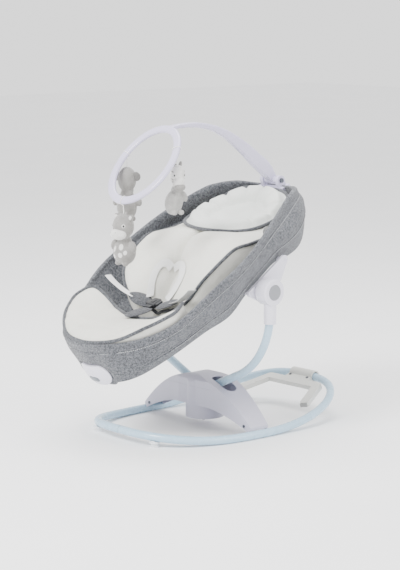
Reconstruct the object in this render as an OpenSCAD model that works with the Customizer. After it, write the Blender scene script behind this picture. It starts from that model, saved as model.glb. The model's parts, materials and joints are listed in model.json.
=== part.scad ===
// Baby swing: a padded seat tub on a U-shaped arm that sways on a motor hub,
// over a rocker ring, with a folding toy bar. Millimetres, +Z up, the foot end towards -Y.

/* [Base ring] */
// Outer diameter of the steel tube of the ring and the swing arm
tube_d = 22; // [20:0.5:24]
// Half width of the ring, to the tube's centre line
ring_half_w = 223; // [215:1:235]
// Half length of the ring, to the tube's centre line
ring_half_l = 335; // [320:1:350]
// How far the middle of the ring lies behind the swing axis
ring_mid_y = 41; // [35:1:48]
// Squareness of the ring's outline, 2 is an ellipse
ring_square = 2.8; // [2.4:0.1:3.2]
// Rise of the tube at the rear end
rear_rise = 76; // [60:1:90]
// Rise of the tube at the front end
front_rise = 18; // [14:1:22]

/* [Motor hub] */
// Height of the top of the hub cover
hub_top = 144; // [140:1:150]
// Radius of the hub drum
drum_r = 52; // [50:1:56]
// Height of the drum's underside above the floor
drum_z = 24; // [20:1:26]
// Half span of the hub's two legs
leg_span = 219; // [212:1:222]
// Half of the sway, in degrees, that the arm slots allow
sway = 6; // [3:0.5:6]

/* [Swing arm] */
// Height of the swing arm's tube inside the hub
arm_z = 113; // [112:0.5:114]
// Distance from the middle to an upright of the arm
arm_x = 258; // [255:1:260]
// Height of the recline axis
pivot_z = 394; // [385:1:400]
// Diameter of the round housing at the recline axis
socket_d = 70; // [66:1:74]

/* [Seat] */
// Tilt of the seat frame above the horizontal
seat_tilt = 23; // [18:1:26]
// Half width of the tub at its rim
rim_half_w = 250; // [244:1:254]
// Half length of the tub at its rim
rim_half_l = 398; // [390:1:404]
// Thickness of the padded fabric wall
wall = 12; // [9:1:14]

/* [Toy bar] */
// Half width of the toy ring
toy_ring_w = 100; // [90:1:110]
// Half length of the toy ring
toy_ring_l = 115; // [105:1:125]
// Slope of the toy ring
toy_ring_tilt = 50; // [45:1:55]

/* [Hidden] */

tube_r = tube_d / 2;
tube_wall = 1.4;
hub_y = 14;             // the swing axis, so that the origin is under the middle of the whole object
gap = 0.4;              // clearance between soft bodies and their neighbours

// ---------- helpers ----------

function signed_pow(v, e) = sign(v) * pow(abs(v), e);
function unit(v) = v / norm(v);
function mix(a, b, t) = a + (b - a) * t;

// radius of a superellipse with half axes w, l at polar angle a
function super_r(a, w, l, n) = 1 / pow(pow(abs(cos(a)) / w, n) + pow(abs(sin(a)) / l, n), 1 / n);

// smooth curve through a table of [t, value] pairs
function seg(t, tab, i = 0) = (i >= len(tab) - 2 || t < tab[i + 1][0]) ? i : seg(t, tab, i + 1);
function slope(tab, i) =
    i <= 0 || i >= len(tab) - 1 ? 0
    : (tab[i + 1][1] - tab[i - 1][1]) / (tab[i + 1][0] - tab[i - 1][0]);
function hermite(u, h, a, b, ma, mb) =
    (1 + 2 * u) * pow(1 - u, 2) * a + u * pow(1 - u, 2) * h * ma
    + u * u * (3 - 2 * u) * b + u * u * (u - 1) * h * mb;
function curve(t, tab) =
    t <= tab[0][0] ? tab[0][1] :
    t >= tab[len(tab) - 1][0] ? tab[len(tab) - 1][1] :
    let (i = seg(t, tab), h = tab[i + 1][0] - tab[i][0], u = (t - tab[i][0]) / h)
        hermite(u, h, tab[i][1], tab[i + 1][1], slope(tab, i), slope(tab, i + 1));

// one ring of a swept tube, square to the path at point i
function tangent(p, i) = unit(p[min(i + 1, len(p) - 1)] - p[max(i - 1, 0)]);
function tube_ring(p, i, r, sides, up) =
    let (t = tangent(p, i), u = unit(cross(t, up)), v = cross(u, t))
        [for (k = [0 : sides - 1]) p[i] + r * (cos(360 * k / sides) * u + sin(360 * k / sides) * v)];

function band(a, b, n, flip = false) =
    [for (k = [0 : n - 1]) let (m = (k + 1) % n) each
        flip ? [[a + k, b + m, a + m], [a + k, b + k, b + m]]
             : [[a + k, a + m, b + m], [a + k, b + m, b + k]]];

// a hollow tube along a path, open at both ends
module hollow_tube(path, r, wall_t, sides = 16, up = [0, 0, 1]) {
    n = len(path);
    outer = [for (i = [0 : n - 1]) each tube_ring(path, i, r, sides, up)];
    inner = [for (i = [0 : n - 1]) each tube_ring(path, i, r - wall_t, sides, up)];
    o = n * sides;
    polyhedron(
        points = concat(outer, inner),
        faces = concat(
            [for (i = [0 : n - 2]) each band(i * sides, (i + 1) * sides, sides)],
            [for (i = [0 : n - 2]) each band(o + i * sides, o + (i + 1) * sides, sides, true)],
            band(0, o, sides, true),
            band((n - 1) * sides, o + (n - 1) * sides, sides)
        ), convexity = 8);
}

// a closed body skinned over rings of equal point count, capped at both ends
module skin(rings) {
    n = len(rings[0]);
    m = len(rings);
    polyhedron(
        points = [for (r = rings) each r],
        faces = concat(
            [[for (k = [0 : n - 1]) k]],
            [for (i = [0 : m - 2]) each band(i * n, (i + 1) * n, n, true)],
            [[for (k = [n - 1 : -1 : 0]) (m - 1) * n + k]]
        ), convexity = 8);
}

// places its children with the swing axis at the hub
module at_hub() { translate([0, hub_y, 0]) children(); }

// places its children in the seat's frame: origin on the recline axis, +Y to the head, +Z out of the seat
module in_seat() { at_hub() translate([0, 0, pivot_z]) rotate([seat_tilt, 0, 0]) children(); }

// both sides of the object
module both_sides() { children(); mirror([1, 0, 0]) children(); }

// a cylinder along +X from x0 to x1
module x_cylinder(r, x0, x1, fn = 64) {
    translate([x0, 0, 0]) rotate([0, 90, 0]) cylinder(r = r, h = x1 - x0, $fn = fn);
}

module rounded_box(size, r) {
    linear_extrude(size[2]) offset(r) square([size[0] - 2 * r, size[1] - 2 * r], center = true);
}

// ---------- base ring ----------

flat_front = -68;       // the ring is flat on the floor between these two stations
flat_rear = 14;

function ring_z(y) =
    tube_r + rear_rise * pow(max(0, y - flat_rear) / (ring_mid_y + ring_half_l - flat_rear), 2)
    + front_rise * pow(max(0, flat_front - y) / (ring_half_l - ring_mid_y + flat_front), 2);

function ring_point(a) =
    let (r = super_r(a, ring_half_w, ring_half_l, ring_square),
         y = ring_mid_y + r * sin(a))
        [r * cos(a), y, ring_z(y)];

ring_steps = 44;

module base_tube_right() {
    path = [for (i = [0 : ring_steps]) ring_point(-89.95 + 179.9 * i / ring_steps)];
    color("#cfe1ee") at_hub() hollow_tube(path, tube_r, tube_wall);
}

module base_tube_left() {
    path = [for (i = [0 : ring_steps]) ring_point(90.05 + 179.9 * i / ring_steps)];
    color("#cfe1ee") at_hub() hollow_tube(path, tube_r, tube_wall);
}

foot_x = 117;
foot_y = ring_mid_y - 315;

module front_foot() {
    top = ring_z(foot_y) - tube_r;
    cylinder(r1 = 11, r2 = 13, h = 5, $fn = 40);
    translate([0, 0, 5]) cylinder(r = 10, h = top - 5 + 3, $fn = 40);
    translate([0, 0, top - 4]) cylinder(r = 14.5, h = 4, $fn = 40);
}

module front_feet() {
    color("#f2f3f5") at_hub() both_sides() difference() {
        translate([foot_x, foot_y, 0]) front_foot();
        translate([foot_x, foot_y, ring_z(foot_y)]) rotate([0, 0, 20]) x_cylinder(tube_r + 1.7, -40, 40);
    }
}

// ---------- motor hub ----------

leg_end_z = 31;
leg_half_w = 31;
shell_t = 3;
seam_z = 112;

function arch_top(x) = hub_top - (hub_top - leg_end_z) * pow(abs(x) / leg_span, 1.9);
function arch_under(x) = 62 - 50 * pow(max(0, abs(x) - 58) / (leg_span - 58), 1.6);

arch_xs = [for (i = [-16 : 16]) leg_span * i / 16];

module arch_profile(inset) {
    rotate([90, 0, 0]) linear_extrude(160, center = true) polygon(concat(
        [for (x = arch_xs) [x * (1 - inset / leg_span), arch_top(x) - inset]],
        [for (i = [len(arch_xs) - 1 : -1 : 0]) let (x = arch_xs[i])
            [x * (1 - inset / leg_span), arch_under(x) - (inset > 0 && abs(x) > drum_r + 8 ? 12 : 0)]]));
}

module leg_planform(inset) {
    linear_extrude(200) offset(delta = -inset) polygon([
        [-leg_span, -leg_half_w], [-drum_r, -drum_r + 3], [drum_r, -drum_r + 3], [leg_span, -leg_half_w],
        [leg_span, leg_half_w], [drum_r, drum_r - 3], [-drum_r, drum_r - 3], [-leg_span, leg_half_w]]);
}

module dome_profile(inset) {
    rotate([90, 0, 90]) linear_extrude(2 * leg_span, center = true) hull() {
        for (s = [-1, 1]) translate([s * (drum_r - 26), hub_top - 26]) circle(r = 26 - inset, $fn = 64);
        translate([-drum_r + inset, 0]) square([2 * (drum_r - inset), 60]);
    }
}

module hub_outside(inset) {
    intersection() {
        union() {
            intersection() { arch_profile(inset); leg_planform(inset); }
            intersection() {
                translate([0, 0, drum_z - (inset > 0 ? 1 : 0)])
                    cylinder(r = drum_r - inset, h = 200, $fn = 96);
                rotate([90, 0, 0]) linear_extrude(200, center = true) polygon(concat(
                    [[leg_span, 0], [-leg_span, 0]],
                    [for (x = arch_xs) [x, arch_top(x) - inset]]));
            }
        }
        dome_profile(inset);
    }
}

slot_x0 = 62;
slot_x1 = 104;
slot_half_w = (slot_x1 - 20) * sin(sway) + tube_r + 2;

module arm_slots() {
    both_sides() hull() for (x = [slot_x0, slot_x1 - 8])
        translate([x, 0, arm_z - tube_r - 6]) cylinder(r = slot_half_w, h = 60, $fn = 32);
}

bearing_r = 13;
bearing_h = 8;
low_bearing_z = 28;
high_bearing_z = 80;
shaft_r = 5;

module hub_housing() {
    color("#d9d9e4") at_hub() difference() {
        union() {
            difference() {
                intersection() {
                    hub_outside(0);
                    translate([0, 0, seam_z / 2]) cube([2 * leg_span, 200, seam_z], center = true);
                }
                hub_outside(shell_t);
                arm_slots();
            }
            translate([0, 0, 76]) cylinder(r = drum_r - 1, h = 4, $fn = 96);
            translate([0, 0, 76]) cylinder(r = bearing_r + 4, h = 12, $fn = 64);
            for (a = [45 : 90 : 315]) rotate([0, 0, a]) translate([drum_r - 8, 0, 31])
                cylinder(r = 5, h = 47, $fn = 24);
        }
        translate([0, 0, high_bearing_z]) cylinder(r = bearing_r, h = 20, $fn = 64);
        translate([0, 0, 60]) cylinder(r = 9, h = 40, $fn = 48);
        for (s = [-1, 1]) translate([s * ring_half_w, 0, tube_r]) rotate([90, 0, 0])
            cylinder(r = tube_r + 1.4, h = 200, center = true, $fn = 64);
        for (a = [45 : 90 : 315]) rotate([0, 0, a]) translate([drum_r - 8, 0, 20])
            cylinder(r = 2, h = 30, $fn = 24);
        rotate([0, 0, 112]) translate([0, 0, 40]) x_cylinder(6.2, 40, 60, 40);
        for (s = [-1, 1]) translate([s * 196, -50, 32]) rotate([-90, 0, 0])
            cylinder(r = 2.2, h = 24, $fn = 24);
        translate([0, pinion_y, 60]) cylinder(r = 6, h = 30, $fn = 32);
    }
}

module hub_cover() {
    color("#dcdce8") at_hub() difference() {
        intersection() {
            hub_outside(0);
            translate([0, 0, seam_z + 0.4 + 50]) cube([2 * leg_span, 200, 100], center = true);
        }
        hub_outside(shell_t);
        arm_slots();
    }
}

module hub_base_plate() {
    color("#cfcfda") at_hub() difference() {
        union() {
            translate([0, 0, drum_z]) cylinder(r = drum_r - shell_t - 0.3, h = 3, $fn = 96);
            translate([0, 0, drum_z]) cylinder(r = bearing_r + 4, h = 14, $fn = 64);
        }
        translate([0, 0, low_bearing_z]) cylinder(r = bearing_r, h = 20, $fn = 64);
        for (a = [45 : 90 : 315]) rotate([0, 0, a]) translate([drum_r - 8, 0, 20])
            cylinder(r = 2.3, h = 20, $fn = 24);
    }
}

module pan_screw(r, length, head_r, head_h) {
    cylinder(r = r, h = length, $fn = 24);
    translate([0, 0, -head_h]) difference() {
        cylinder(r = head_r, h = head_h, $fn = 32);
        translate([0, 0, -0.1]) cylinder(r = head_r * 0.4, h = head_h * 0.7, $fn = 6);
    }
}

module hub_screws() {
    color("#5b5e66") at_hub() {
        for (a = [45 : 90 : 315]) rotate([0, 0, a]) translate([drum_r - 8, 0, drum_z])
            pan_screw(1.9, 20, 4, 2);
        for (s = [-1, 1]) translate([s * 196, -leg_half_w - 3.3, 32]) rotate([-90, 0, 0])
            pan_screw(2, 1.5, 4, 1.6);
    }
}

// ---------- swing drive ----------

module_mm = 1;
sector_teeth = 56;
pinion_teeth = 16;
pinion_y = module_mm * (sector_teeth + pinion_teeth) / 2 + 0.15;
gear_z = 44;
gear_h = 7;

function involute(base_r, t) = base_r * [cos(t) + t * PI / 180 * sin(t), sin(t) - t * PI / 180 * cos(t)];
function involute_angle(base_r, r) = sqrt(max(0, pow(r / base_r, 2) - 1)) * 180 / PI;
function polar_angle(p) = atan2(p[1], p[0]);
function rotated(p, a) = [p[0] * cos(a) - p[1] * sin(a), p[0] * sin(a) + p[1] * cos(a)];

// one spur tooth, centred on +X
function tooth(teeth, backlash = 0.14) =
    let (rp = module_mm * teeth / 2, rb = rp * cos(20), ra = rp + module_mm * 0.95,
         at_pitch = polar_angle(involute(rb, involute_angle(rb, rp))),
         half = 90 / teeth - backlash / 2 / rp * 180 / PI,
         flank = [for (i = [0 : 5]) rotated(involute(rb, involute_angle(rb, mix(rb, ra, i / 5))),
             -at_pitch - half)])
        concat([rotated([rp - 1.3 * module_mm, 0], -half * 1.25)], flank,
            [for (i = [5 : -1 : 0]) [flank[i][0], -flank[i][1]]],
            [rotated([rp - 1.3 * module_mm, 0], half * 1.25)]);

module gear(teeth, first, last) {
    rp = module_mm * teeth / 2;
    for (i = [first : last]) rotate([0, 0, 360 / teeth * i]) polygon(tooth(teeth));
    circle(r = rp - 1.2 * module_mm, $fn = 96);
}

module swing_shaft() {
    color("#b9bcc4") at_hub() {
        translate([0, 0, low_bearing_z]) cylinder(r = shaft_r, h = 70, $fn = 48);
        translate([0, 0, high_bearing_z + bearing_h + 0.5]) cylinder(r = 8, h = 5.5, $fn = 48);
    }
}

module sector_gear() {
    span = 10;
    color("#f0ead6") at_hub() translate([0, 0, gear_z]) difference() {
        union() {
            linear_extrude(gear_h) intersection() {
                rotate([0, 0, 90]) gear(sector_teeth, -span, span);
                polygon([[0, -14], [60, 46], [60, 60], [-60, 60], [-60, 46]]);
            }
            cylinder(r = 11, h = 12, $fn = 48);
        }
        translate([0, 0, -1]) cylinder(r = shaft_r, h = 20, $fn = 48);
    }
}

module motor_pinion() {
    color("#e8dfc0") at_hub() translate([0, pinion_y, gear_z - 1]) {
        linear_extrude(gear_h + 2) rotate([0, 0, 90 + 180 / pinion_teeth])
            gear(pinion_teeth, 0, pinion_teeth - 1);
        cylinder(r = 1.5, h = gear_h + 9, $fn = 24);
    }
}

module drive_motor() {
    color("#a9adb5") at_hub() translate([0, pinion_y, 0]) difference() {
        union() {
            translate([0, 0, gear_z + gear_h + 2]) cylinder(r = 11.5, h = 22, $fn = 64);
            translate([0, 0, gear_z + gear_h + 24]) cylinder(r = 5, h = 3, $fn = 32);
        }
        translate([0, 0, gear_z + gear_h]) cylinder(r = 1.6, h = 8, $fn = 24);
    }
}

module shaft_bearings() {
    color("#c7cad1") at_hub() for (z = [low_bearing_z, high_bearing_z]) translate([0, 0, z]) difference() {
        cylinder(r = bearing_r, h = bearing_h, $fn = 64);
        translate([0, 0, -1]) cylinder(r = shaft_r + 0.04, h = bearing_h + 2, $fn = 64);
    }
}

module circuit_board() {
    color("#2f7d4f") at_hub() {
        translate([-40, -20, 70]) cube([22, 40, 1.6]);
        for (y = [-14, 0, 12]) translate([-35, y, 66]) cube([8, 6, 4]);
        for (y = [-15, 15]) translate([-30, y, 71.6]) cylinder(r = 2.5, h = 4.4, $fn = 24);
    }
}

module power_inlet() {
    color("#3a3c42") at_hub() rotate([0, 0, 112]) translate([0, 0, 40]) difference() {
        union() {
            x_cylinder(6, 38, drum_r + 0.5, 40);
            x_cylinder(8, drum_r + 0.5, drum_r + 2, 40);
        }
        x_cylinder(2.8, 41, drum_r + 3, 32);
    }
}

// ---------- swing arm ----------

bend_small = 100;
bend_large = 200;
rise_angle = 24;
flat_half = 18;

small_x = flat_half + bend_small * sin(rise_angle);
small_z = arm_z + bend_small * (1 - cos(rise_angle));
large_x = arm_x - bend_large * (1 - sin(rise_angle));
large_z = small_z + (large_x - small_x) * tan(rise_angle);
upright_z = large_z + bend_large * cos(rise_angle);
arm_top = upright_z + 12;

// an upward bend in the X-Z plane, from heading a0 to heading a1 about the centre c
function arm_bend(c, r, a0, a1, n) = [for (i = [0 : n])
    let (a = mix(a0, a1, i / n)) [c[0] + r * sin(a), 0, c[1] - r * cos(a)]];

arm_half_path = concat(
    arm_bend([flat_half, arm_z + bend_small], bend_small, 0, rise_angle, 6),
    arm_bend([arm_x - bend_large, upright_z], bend_large, rise_angle, 90, 16),
    [[arm_x, 0, arm_top]]);

module swing_arm_tube() {
    n = len(arm_half_path);
    path = concat([for (i = [n - 1 : -1 : 0]) let (p = arm_half_path[i]) [-p[0], 0, p[2]]], arm_half_path);
    color("#cbdce9") at_hub() hollow_tube(path, tube_r, tube_wall, up = [0, 1, 0]);
}

module arm_yoke() {
    color("#9fa3ad") at_hub() difference() {
        union() {
            translate([-16, -15, 94.5]) cube([32, 30, 18]);
            translate([0, 0, 94.5]) cylinder(r = 14, h = 6, $fn = 48);
        }
        translate([0, 0, arm_z]) x_cylinder(tube_r + 0.02, -30, 30);
        translate([0, 0, 90]) cylinder(r = shaft_r + 0.01, h = 9, $fn = 48);
    }
}

socket_x0 = 236;
socket_x1 = 276;
pin_r = 10;
button_r = 20;
button_x = 262;

module arm_socket() {
    difference() {
        union() {
            translate([0, 0, pivot_z]) {
                x_cylinder(socket_d / 2, socket_x0 + 3, socket_x1 - 3, 96);
                translate([socket_x1 - 3, 0, 0]) rotate([0, 90, 0])
                    cylinder(r1 = socket_d / 2, r2 = socket_d / 2 - 4, h = 3, $fn = 96);
                translate([socket_x0 + 3, 0, 0]) rotate([0, -90, 0])
                    cylinder(r1 = socket_d / 2, r2 = socket_d / 2 - 3, h = 3, $fn = 96);
            }
            translate([arm_x, 0, upright_z - 30]) cylinder(r = 16.5, h = 66, $fn = 64);
        }
        translate([arm_x, 0, upright_z - 31]) cylinder(r = tube_r, h = 31 + arm_top - upright_z, $fn = 48);
        // a wider mouth where the tube starts its bend
        translate([arm_x - 1.3, 0, upright_z - 31]) cylinder(r = tube_r + 1.35, h = 27, $fn = 48);
        translate([0, 0, pivot_z]) {
            x_cylinder(pin_r + 0.05, socket_x0 - 1, socket_x0 + 13);
            x_cylinder(button_r + 0.5, button_x - 10, socket_x1 + 1, 96);
        }
    }
}

module arm_socket_right() { color("#f1f1f5") at_hub() arm_socket(); }
module arm_socket_left() { color("#f1f1f5") at_hub() mirror([1, 0, 0]) arm_socket(); }

module release_button() {
    translate([0, 0, pivot_z]) difference() {
        union() {
            x_cylinder(button_r, button_x, socket_x1 + 1, 96);
            translate([socket_x1 + 1, 0, 0]) rotate([0, 90, 0])
                cylinder(r1 = button_r, r2 = button_r - 2, h = 1.5, $fn = 96);
        }
        x_cylinder(10, button_x - 1, button_x + 8, 48);
    }
}

module release_button_right() { color("#9b9da3") at_hub() release_button(); }
module release_button_left() { color("#9b9da3") at_hub() mirror([1, 0, 0]) release_button(); }

// the compression spring behind a button, as a closed sleeve of the coil's outer size
module release_spring() {
    translate([0, 0, pivot_z]) difference() {
        x_cylinder(8, button_x - 9.9, button_x + 7.9, 40);
        x_cylinder(6, button_x - 12, button_x + 10, 40);
    }
}

module release_spring_right() { color("#8d9096") at_hub() release_spring(); }
module release_spring_left() { color("#8d9096") at_hub() mirror([1, 0, 0]) release_spring(); }

// ---------- stabiliser ----------

stab_y = ring_mid_y + ring_half_l;
stab_z = ring_z(stab_y);
stab_drop = 19;
stab_reach = 134;

module stab_limb(p, q, w, h) {
    hull() for (e = [p, q]) translate([e[0], e[1], 0]) cylinder(r = w / 2, h = h, center = true, $fn = 32);
}

module stabiliser_bar() {
    color("#dcdcd8") at_hub() translate([0, stab_y, stab_z]) rotate([stab_drop, 0, 0]) difference() {
        union() {
            stab_limb([-96, -46], [96, -46], 26, 13);
            for (s = [-1, 1]) stab_limb([s * 96, -46], [s * stab_reach, -stab_reach], 26, 13);
            translate([-44, -36, -6.5]) cube([88, 36, 13]);
            x_cylinder(tube_r + 6, -44, 44);
        }
        x_cylinder(tube_r + 1.9, -60, 60);
        for (s = [-1, 1]) translate([s * 34, -22, -2]) cylinder(r = 1.7, h = 10, $fn = 24);
        for (s = [-1, 1]) translate([s * stab_reach, -stab_reach, 0]) rotate([0, 0, s * 23.3])
            translate([-15, -28, -9]) cube([30, 20, 18]);
    }
}

module stabiliser_pads() {
    color("#8f8f8d") at_hub() translate([0, stab_y, stab_z]) rotate([stab_drop, 0, 0])
        for (s = [-1, 1]) translate([s * stab_reach, -stab_reach, 0]) rotate([0, 0, s * 23.3])
            translate([-10, -13, -5]) cube([20, 4.8, 10]);
}

module stabiliser_screws() {
    color("#4c4e54") at_hub() translate([0, stab_y, stab_z]) rotate([stab_drop, 0, 0])
        for (s = [-1, 1]) translate([s * 34, -22, 6.5]) rotate([180, 0, 0]) pan_screw(1.6, 8, 4, 1.8);
}

// ---------- seat: shape functions, in the seat's frame ----------

tub_mid = -62;
tub_square = 2.8;
foot_square = 2.25;
foot_share = 0.945;
head_lean = 0.17;
hem_in = 0.83;          // the tub narrows to this share of the rim at the hem
tub_steps = 48;

// height of the rim, of the hem and of the sling's middle along the seat
rim_table = [[-440, 46], [-350, 40], [-280, 46], [-200, 70], [-140, 86], [-79, 96], [0, 111],
    [100, 131], [190, 144], [240, 147], [300, 134], [336, 116]];
hem_table = [[-440, -50], [-390, -42], [-323, -22], [-195, -18], [-110, -18], [-36, 8], [40, 27],
    [92, 34], [150, 22], [210, 20], [270, 38], [320, 62], [336, 70]];
sling_table = [[-420, -62], [-370, -70], [-250, -64], [-180, -54], [-100, -6], [-20, 28], [80, 34],
    [220, 36], [336, 62]];

// tops of the pads: along the middle and along the sides
foot_mid_table = [[-440, 50], [-400, 57], [-350, 60], [-300, 50], [-250, 34], [-190, 16]];
foot_side_table = [[-460, 56], [-400, 66], [-328, 74], [-270, 78], [-200, 84]];
back_mid_table = [[-178, 14], [-142, 34], [-91, 70], [-46, 112], [-20, 130], [30, 130], [80, 114],
    [130, 102], [200, 92], [300, 94]];
back_side_table = [[-178, 76], [-127, 96], [-38, 122], [0, 126], [44, 114], [98, 102], [200, 96],
    [300, 98]];

// the foot half is rounder and shorter than the head half
function half_n(s) = s < tub_mid ? foot_square : tub_square;
function half_l(s, l) = s < tub_mid ? l * foot_share : l;
function tub_norm(x, s, w, l) = let (n = half_n(s))
    pow(pow(abs(x) / w, n) + pow(abs(s - tub_mid) / half_l(s, l), n), 1 / n);
function tub_plan(a, w, l) =
    let (s = tub_mid + sin(a), r = super_r(a, w, half_l(s, l), half_n(s)))
        [r * cos(a), tub_mid + r * sin(a)];
// towards the head the upper wall leans in
function ease(u) = let (v = min(1, max(0, u))) v * v * (3 - 2 * v);
function lean(s, t) = 1 - head_lean * ease((s + 60) / 300) * ease(1 - t / 0.5);
function tub_w(t, inset) = mix(rim_half_w, rim_half_w * hem_in, pow(t, 1.3)) - inset;
function tub_l(t, inset) = mix(rim_half_l, rim_half_l * 0.96, pow(t, 1.3)) - inset;

// the underside of the sling
function sling_z(x, s, inset) =
    let (q = min(1, tub_norm(x, s, tub_w(1, inset), tub_l(1, inset))))
        mix(curve(s, hem_table), curve(s, sling_table), 1 - pow(q, 4));

function wall_ring(t, inset, lift) = [for (i = [0 : tub_steps - 1])
    let (p = tub_plan(360 * i / tub_steps, tub_w(t, inset), tub_l(t, inset)))
        [p[0] * lean(p[1], t), p[1], mix(curve(p[1], rim_table), curve(p[1], hem_table) + lift, t)]];

function rim_ring(inset, up) = [for (i = [0 : tub_steps - 1])
    let (p = tub_plan(360 * i / tub_steps, tub_w(0, inset), tub_l(0, inset)))
        [p[0] * lean(p[1], 0), p[1], curve(p[1], rim_table) + up]];

function floor_ring(q, inset, lift) = [for (i = [0 : tub_steps - 1])
    let (p = tub_plan(360 * i / tub_steps, tub_w(1, inset) * q, tub_l(1, inset) * q))
        [p[0], p[1], sling_z(p[0], p[1], inset) + lift]];

// moves a point inwards until it is clear of the tub's wall
function clamp_in(p, t, inset) = let (k = max(1, tub_norm(p[0], p[1], tub_w(t, inset), tub_l(t, inset))))
    [p[0] / k, tub_mid + (p[1] - tub_mid) / k];

module seat_tub() {
    color("#9a9da2") difference() {
        in_seat() tub_body();
        mount_room();
    }
}

module tub_body() {
    difference() {
        skin(concat(
            [for (q = [0.05, 0.2, 0.35, 0.5, 0.67, 0.8, 0.91]) floor_ring(q, 0, 0)],
            [for (t = [1, 0.75, 0.5, 0.25, 0]) wall_ring(t, 0, 0)],
            [rim_ring(wall * 0.25, 5), rim_ring(wall * 0.75, 5)],
            [for (t = [0, 0.33, 0.66, 1]) wall_ring(t, wall, 10)],
            [for (q = [0.91, 0.8, 0.67, 0.5, 0.35, 0.2, 0.05]) floor_ring(q, wall, 10)]
        ));
        pod_pocket();
        both_sides() for (p = [tip_foot, tip_head]) translate([0, p[0], p[1]])
            x_cylinder(boss_r + 0.4, frame_x(p[0]) + 1, rim_half_w + 2, 32);
    }
}

// ---------- seat frame ----------

frame_r = 5.5;

// the frame runs in the hem, and rises over the pod at the foot end
function frame_point(a) =
    let (t = 1 - 0.5 * exp(-pow((a - 270) / 16, 2)),
         p = tub_plan(a, tub_w(t, wall / 2), tub_l(t, wall / 2)))
        [p[0], p[1], mix(curve(p[1], rim_table), curve(p[1], hem_table) + 8, t)];

frame_split = 14;       // the two halves meet this many degrees headwards of the tub's middle
frame_wall = 1.2;

// the frame's height at station s, and its distance from the middle there
function frame_at(s) = [s, curve(s, hem_table) + 8];
function frame_x(s) = tub_w(1, wall / 2)
    * pow(1 - pow(abs(s - tub_mid) / tub_l(1, wall / 2), tub_square), 1 / tub_square);

module seat_frame_head() {
    first = frame_split + 0.2;
    path = [for (i = [0 : 36]) frame_point(first + (180 - 2 * first) * i / 36)];
    color("#b8bbc2") in_seat() hollow_tube(path, frame_r, frame_wall, 12);
}

module seat_frame_foot() {
    path = [for (i = [0 : 36]) frame_point(180 - frame_split + (180 + 2 * frame_split) * i / 36)];
    color("#b8bbc2") in_seat() hollow_tube(path, frame_r, frame_wall, 12);
}

// ---------- recline brackets ----------

plate_x0 = 226;
plate_x1 = 234;
tip_foot = frame_at(-42);
tip_head = frame_at(98);
boss_r = 5;
bracket_screw_r = 1.9;

// a plate with the pin that the seat turns on, and two bosses that reach in to the frame
module bracket() {
    difference() {
        union() {
            translate([plate_x0, 0, 0]) rotate([90, 0, 90]) linear_extrude(plate_x1 - plate_x0) hull() {
                circle(r = 30, $fn = 64);
                translate(tip_foot) circle(r = 9, $fn = 32);
                translate(tip_head) circle(r = 11, $fn = 32);
                translate([60, 8]) circle(r = 12, $fn = 32);
            }
            x_cylinder(pin_r, plate_x1, socket_x0 + 12);
            for (p = [tip_foot, tip_head]) translate([0, p[0], p[1]])
                x_cylinder(boss_r, frame_x(p[0]) + frame_r + 0.3, plate_x0 + 1, 32);
        }
        for (p = [tip_foot, tip_head]) translate([0, p[0], p[1]])
            x_cylinder(bracket_screw_r + 0.05, frame_x(p[0]), plate_x1 + 1, 24);
    }
}

module seat_bracket_right() { color("#f4f4f7") in_seat() bracket(); }
module seat_bracket_left() { color("#f4f4f7") in_seat() mirror([1, 0, 0]) bracket(); }

// self-tapping screws through the bosses into the outer wall of the frame
module bracket_screws() {
    color("#44464c") in_seat() both_sides() for (p = [tip_foot, tip_head])
        translate([plate_x1, p[0], p[1]]) rotate([0, -90, 0])
            pan_screw(bracket_screw_r, plate_x1 - frame_x(p[0]) - frame_r + 2, 3.8, 1.8);
}

// ---------- pads ----------

pad_steps = 44;

// a cushion between the sling and a top surface, on a superellipse plan
function pad_top(x, s, top_mid, top_side, side_x) =
    mix(curve(s, top_mid), curve(s, top_side), pow(min(1, abs(x) / side_x), 2.2));
function back_top(x, s) = pad_top(x, s, back_mid_table, back_side_table, 170);

module pad(mid, half_w, half_l, square, top_mid, top_side, side_x, low = [[-460, -99], [336, -99]]) {
    function edge(a) = let (r = super_r(a, half_w, half_l, square))
        clamp_in([r * cos(a), mid + r * sin(a)], 1, wall + gap + 1);
    function plan(a, q) = [0, mid] + q * (edge(a) - [0, mid]);
    function base(p) = max(sling_z(p[0], p[1], wall) + 17, curve(p[1], low));
    function top(p) = max(base(p) + 12, pad_top(p[0], p[1], top_mid, top_side, side_x));
    function ring(q, lift, f) = [for (i = [0 : pad_steps - 1])
        let (p = plan(360 * i / pad_steps, q)) [p[0], p[1], mix(base(p), top(p), f) + lift]];
    skin(concat(
        [for (q = [0.05, 0.4, 0.7, 0.88]) ring(q, 0, 0)],
        [ring(0.96, 1, 0), ring(1, 0, 0.3), ring(1, 0, 0.6), ring(0.97, -4, 1)],
        [for (q = [0.88, 0.7, 0.4, 0.05]) ring(q, 0, 1)]
    ));
}

module foot_pad() {
    color("#f4f3ee") in_seat()
        pad(-318, 192, 132, 2.8, foot_mid_table, foot_side_table, 190, [[-372, 6], [-332, -60]]);
}

module back_pad() {
    color("#f5f4f0") in_seat()
        pad(60, 176, 236, 3, back_mid_table, back_side_table, 170);
}

pillow_mid = 176;

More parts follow.
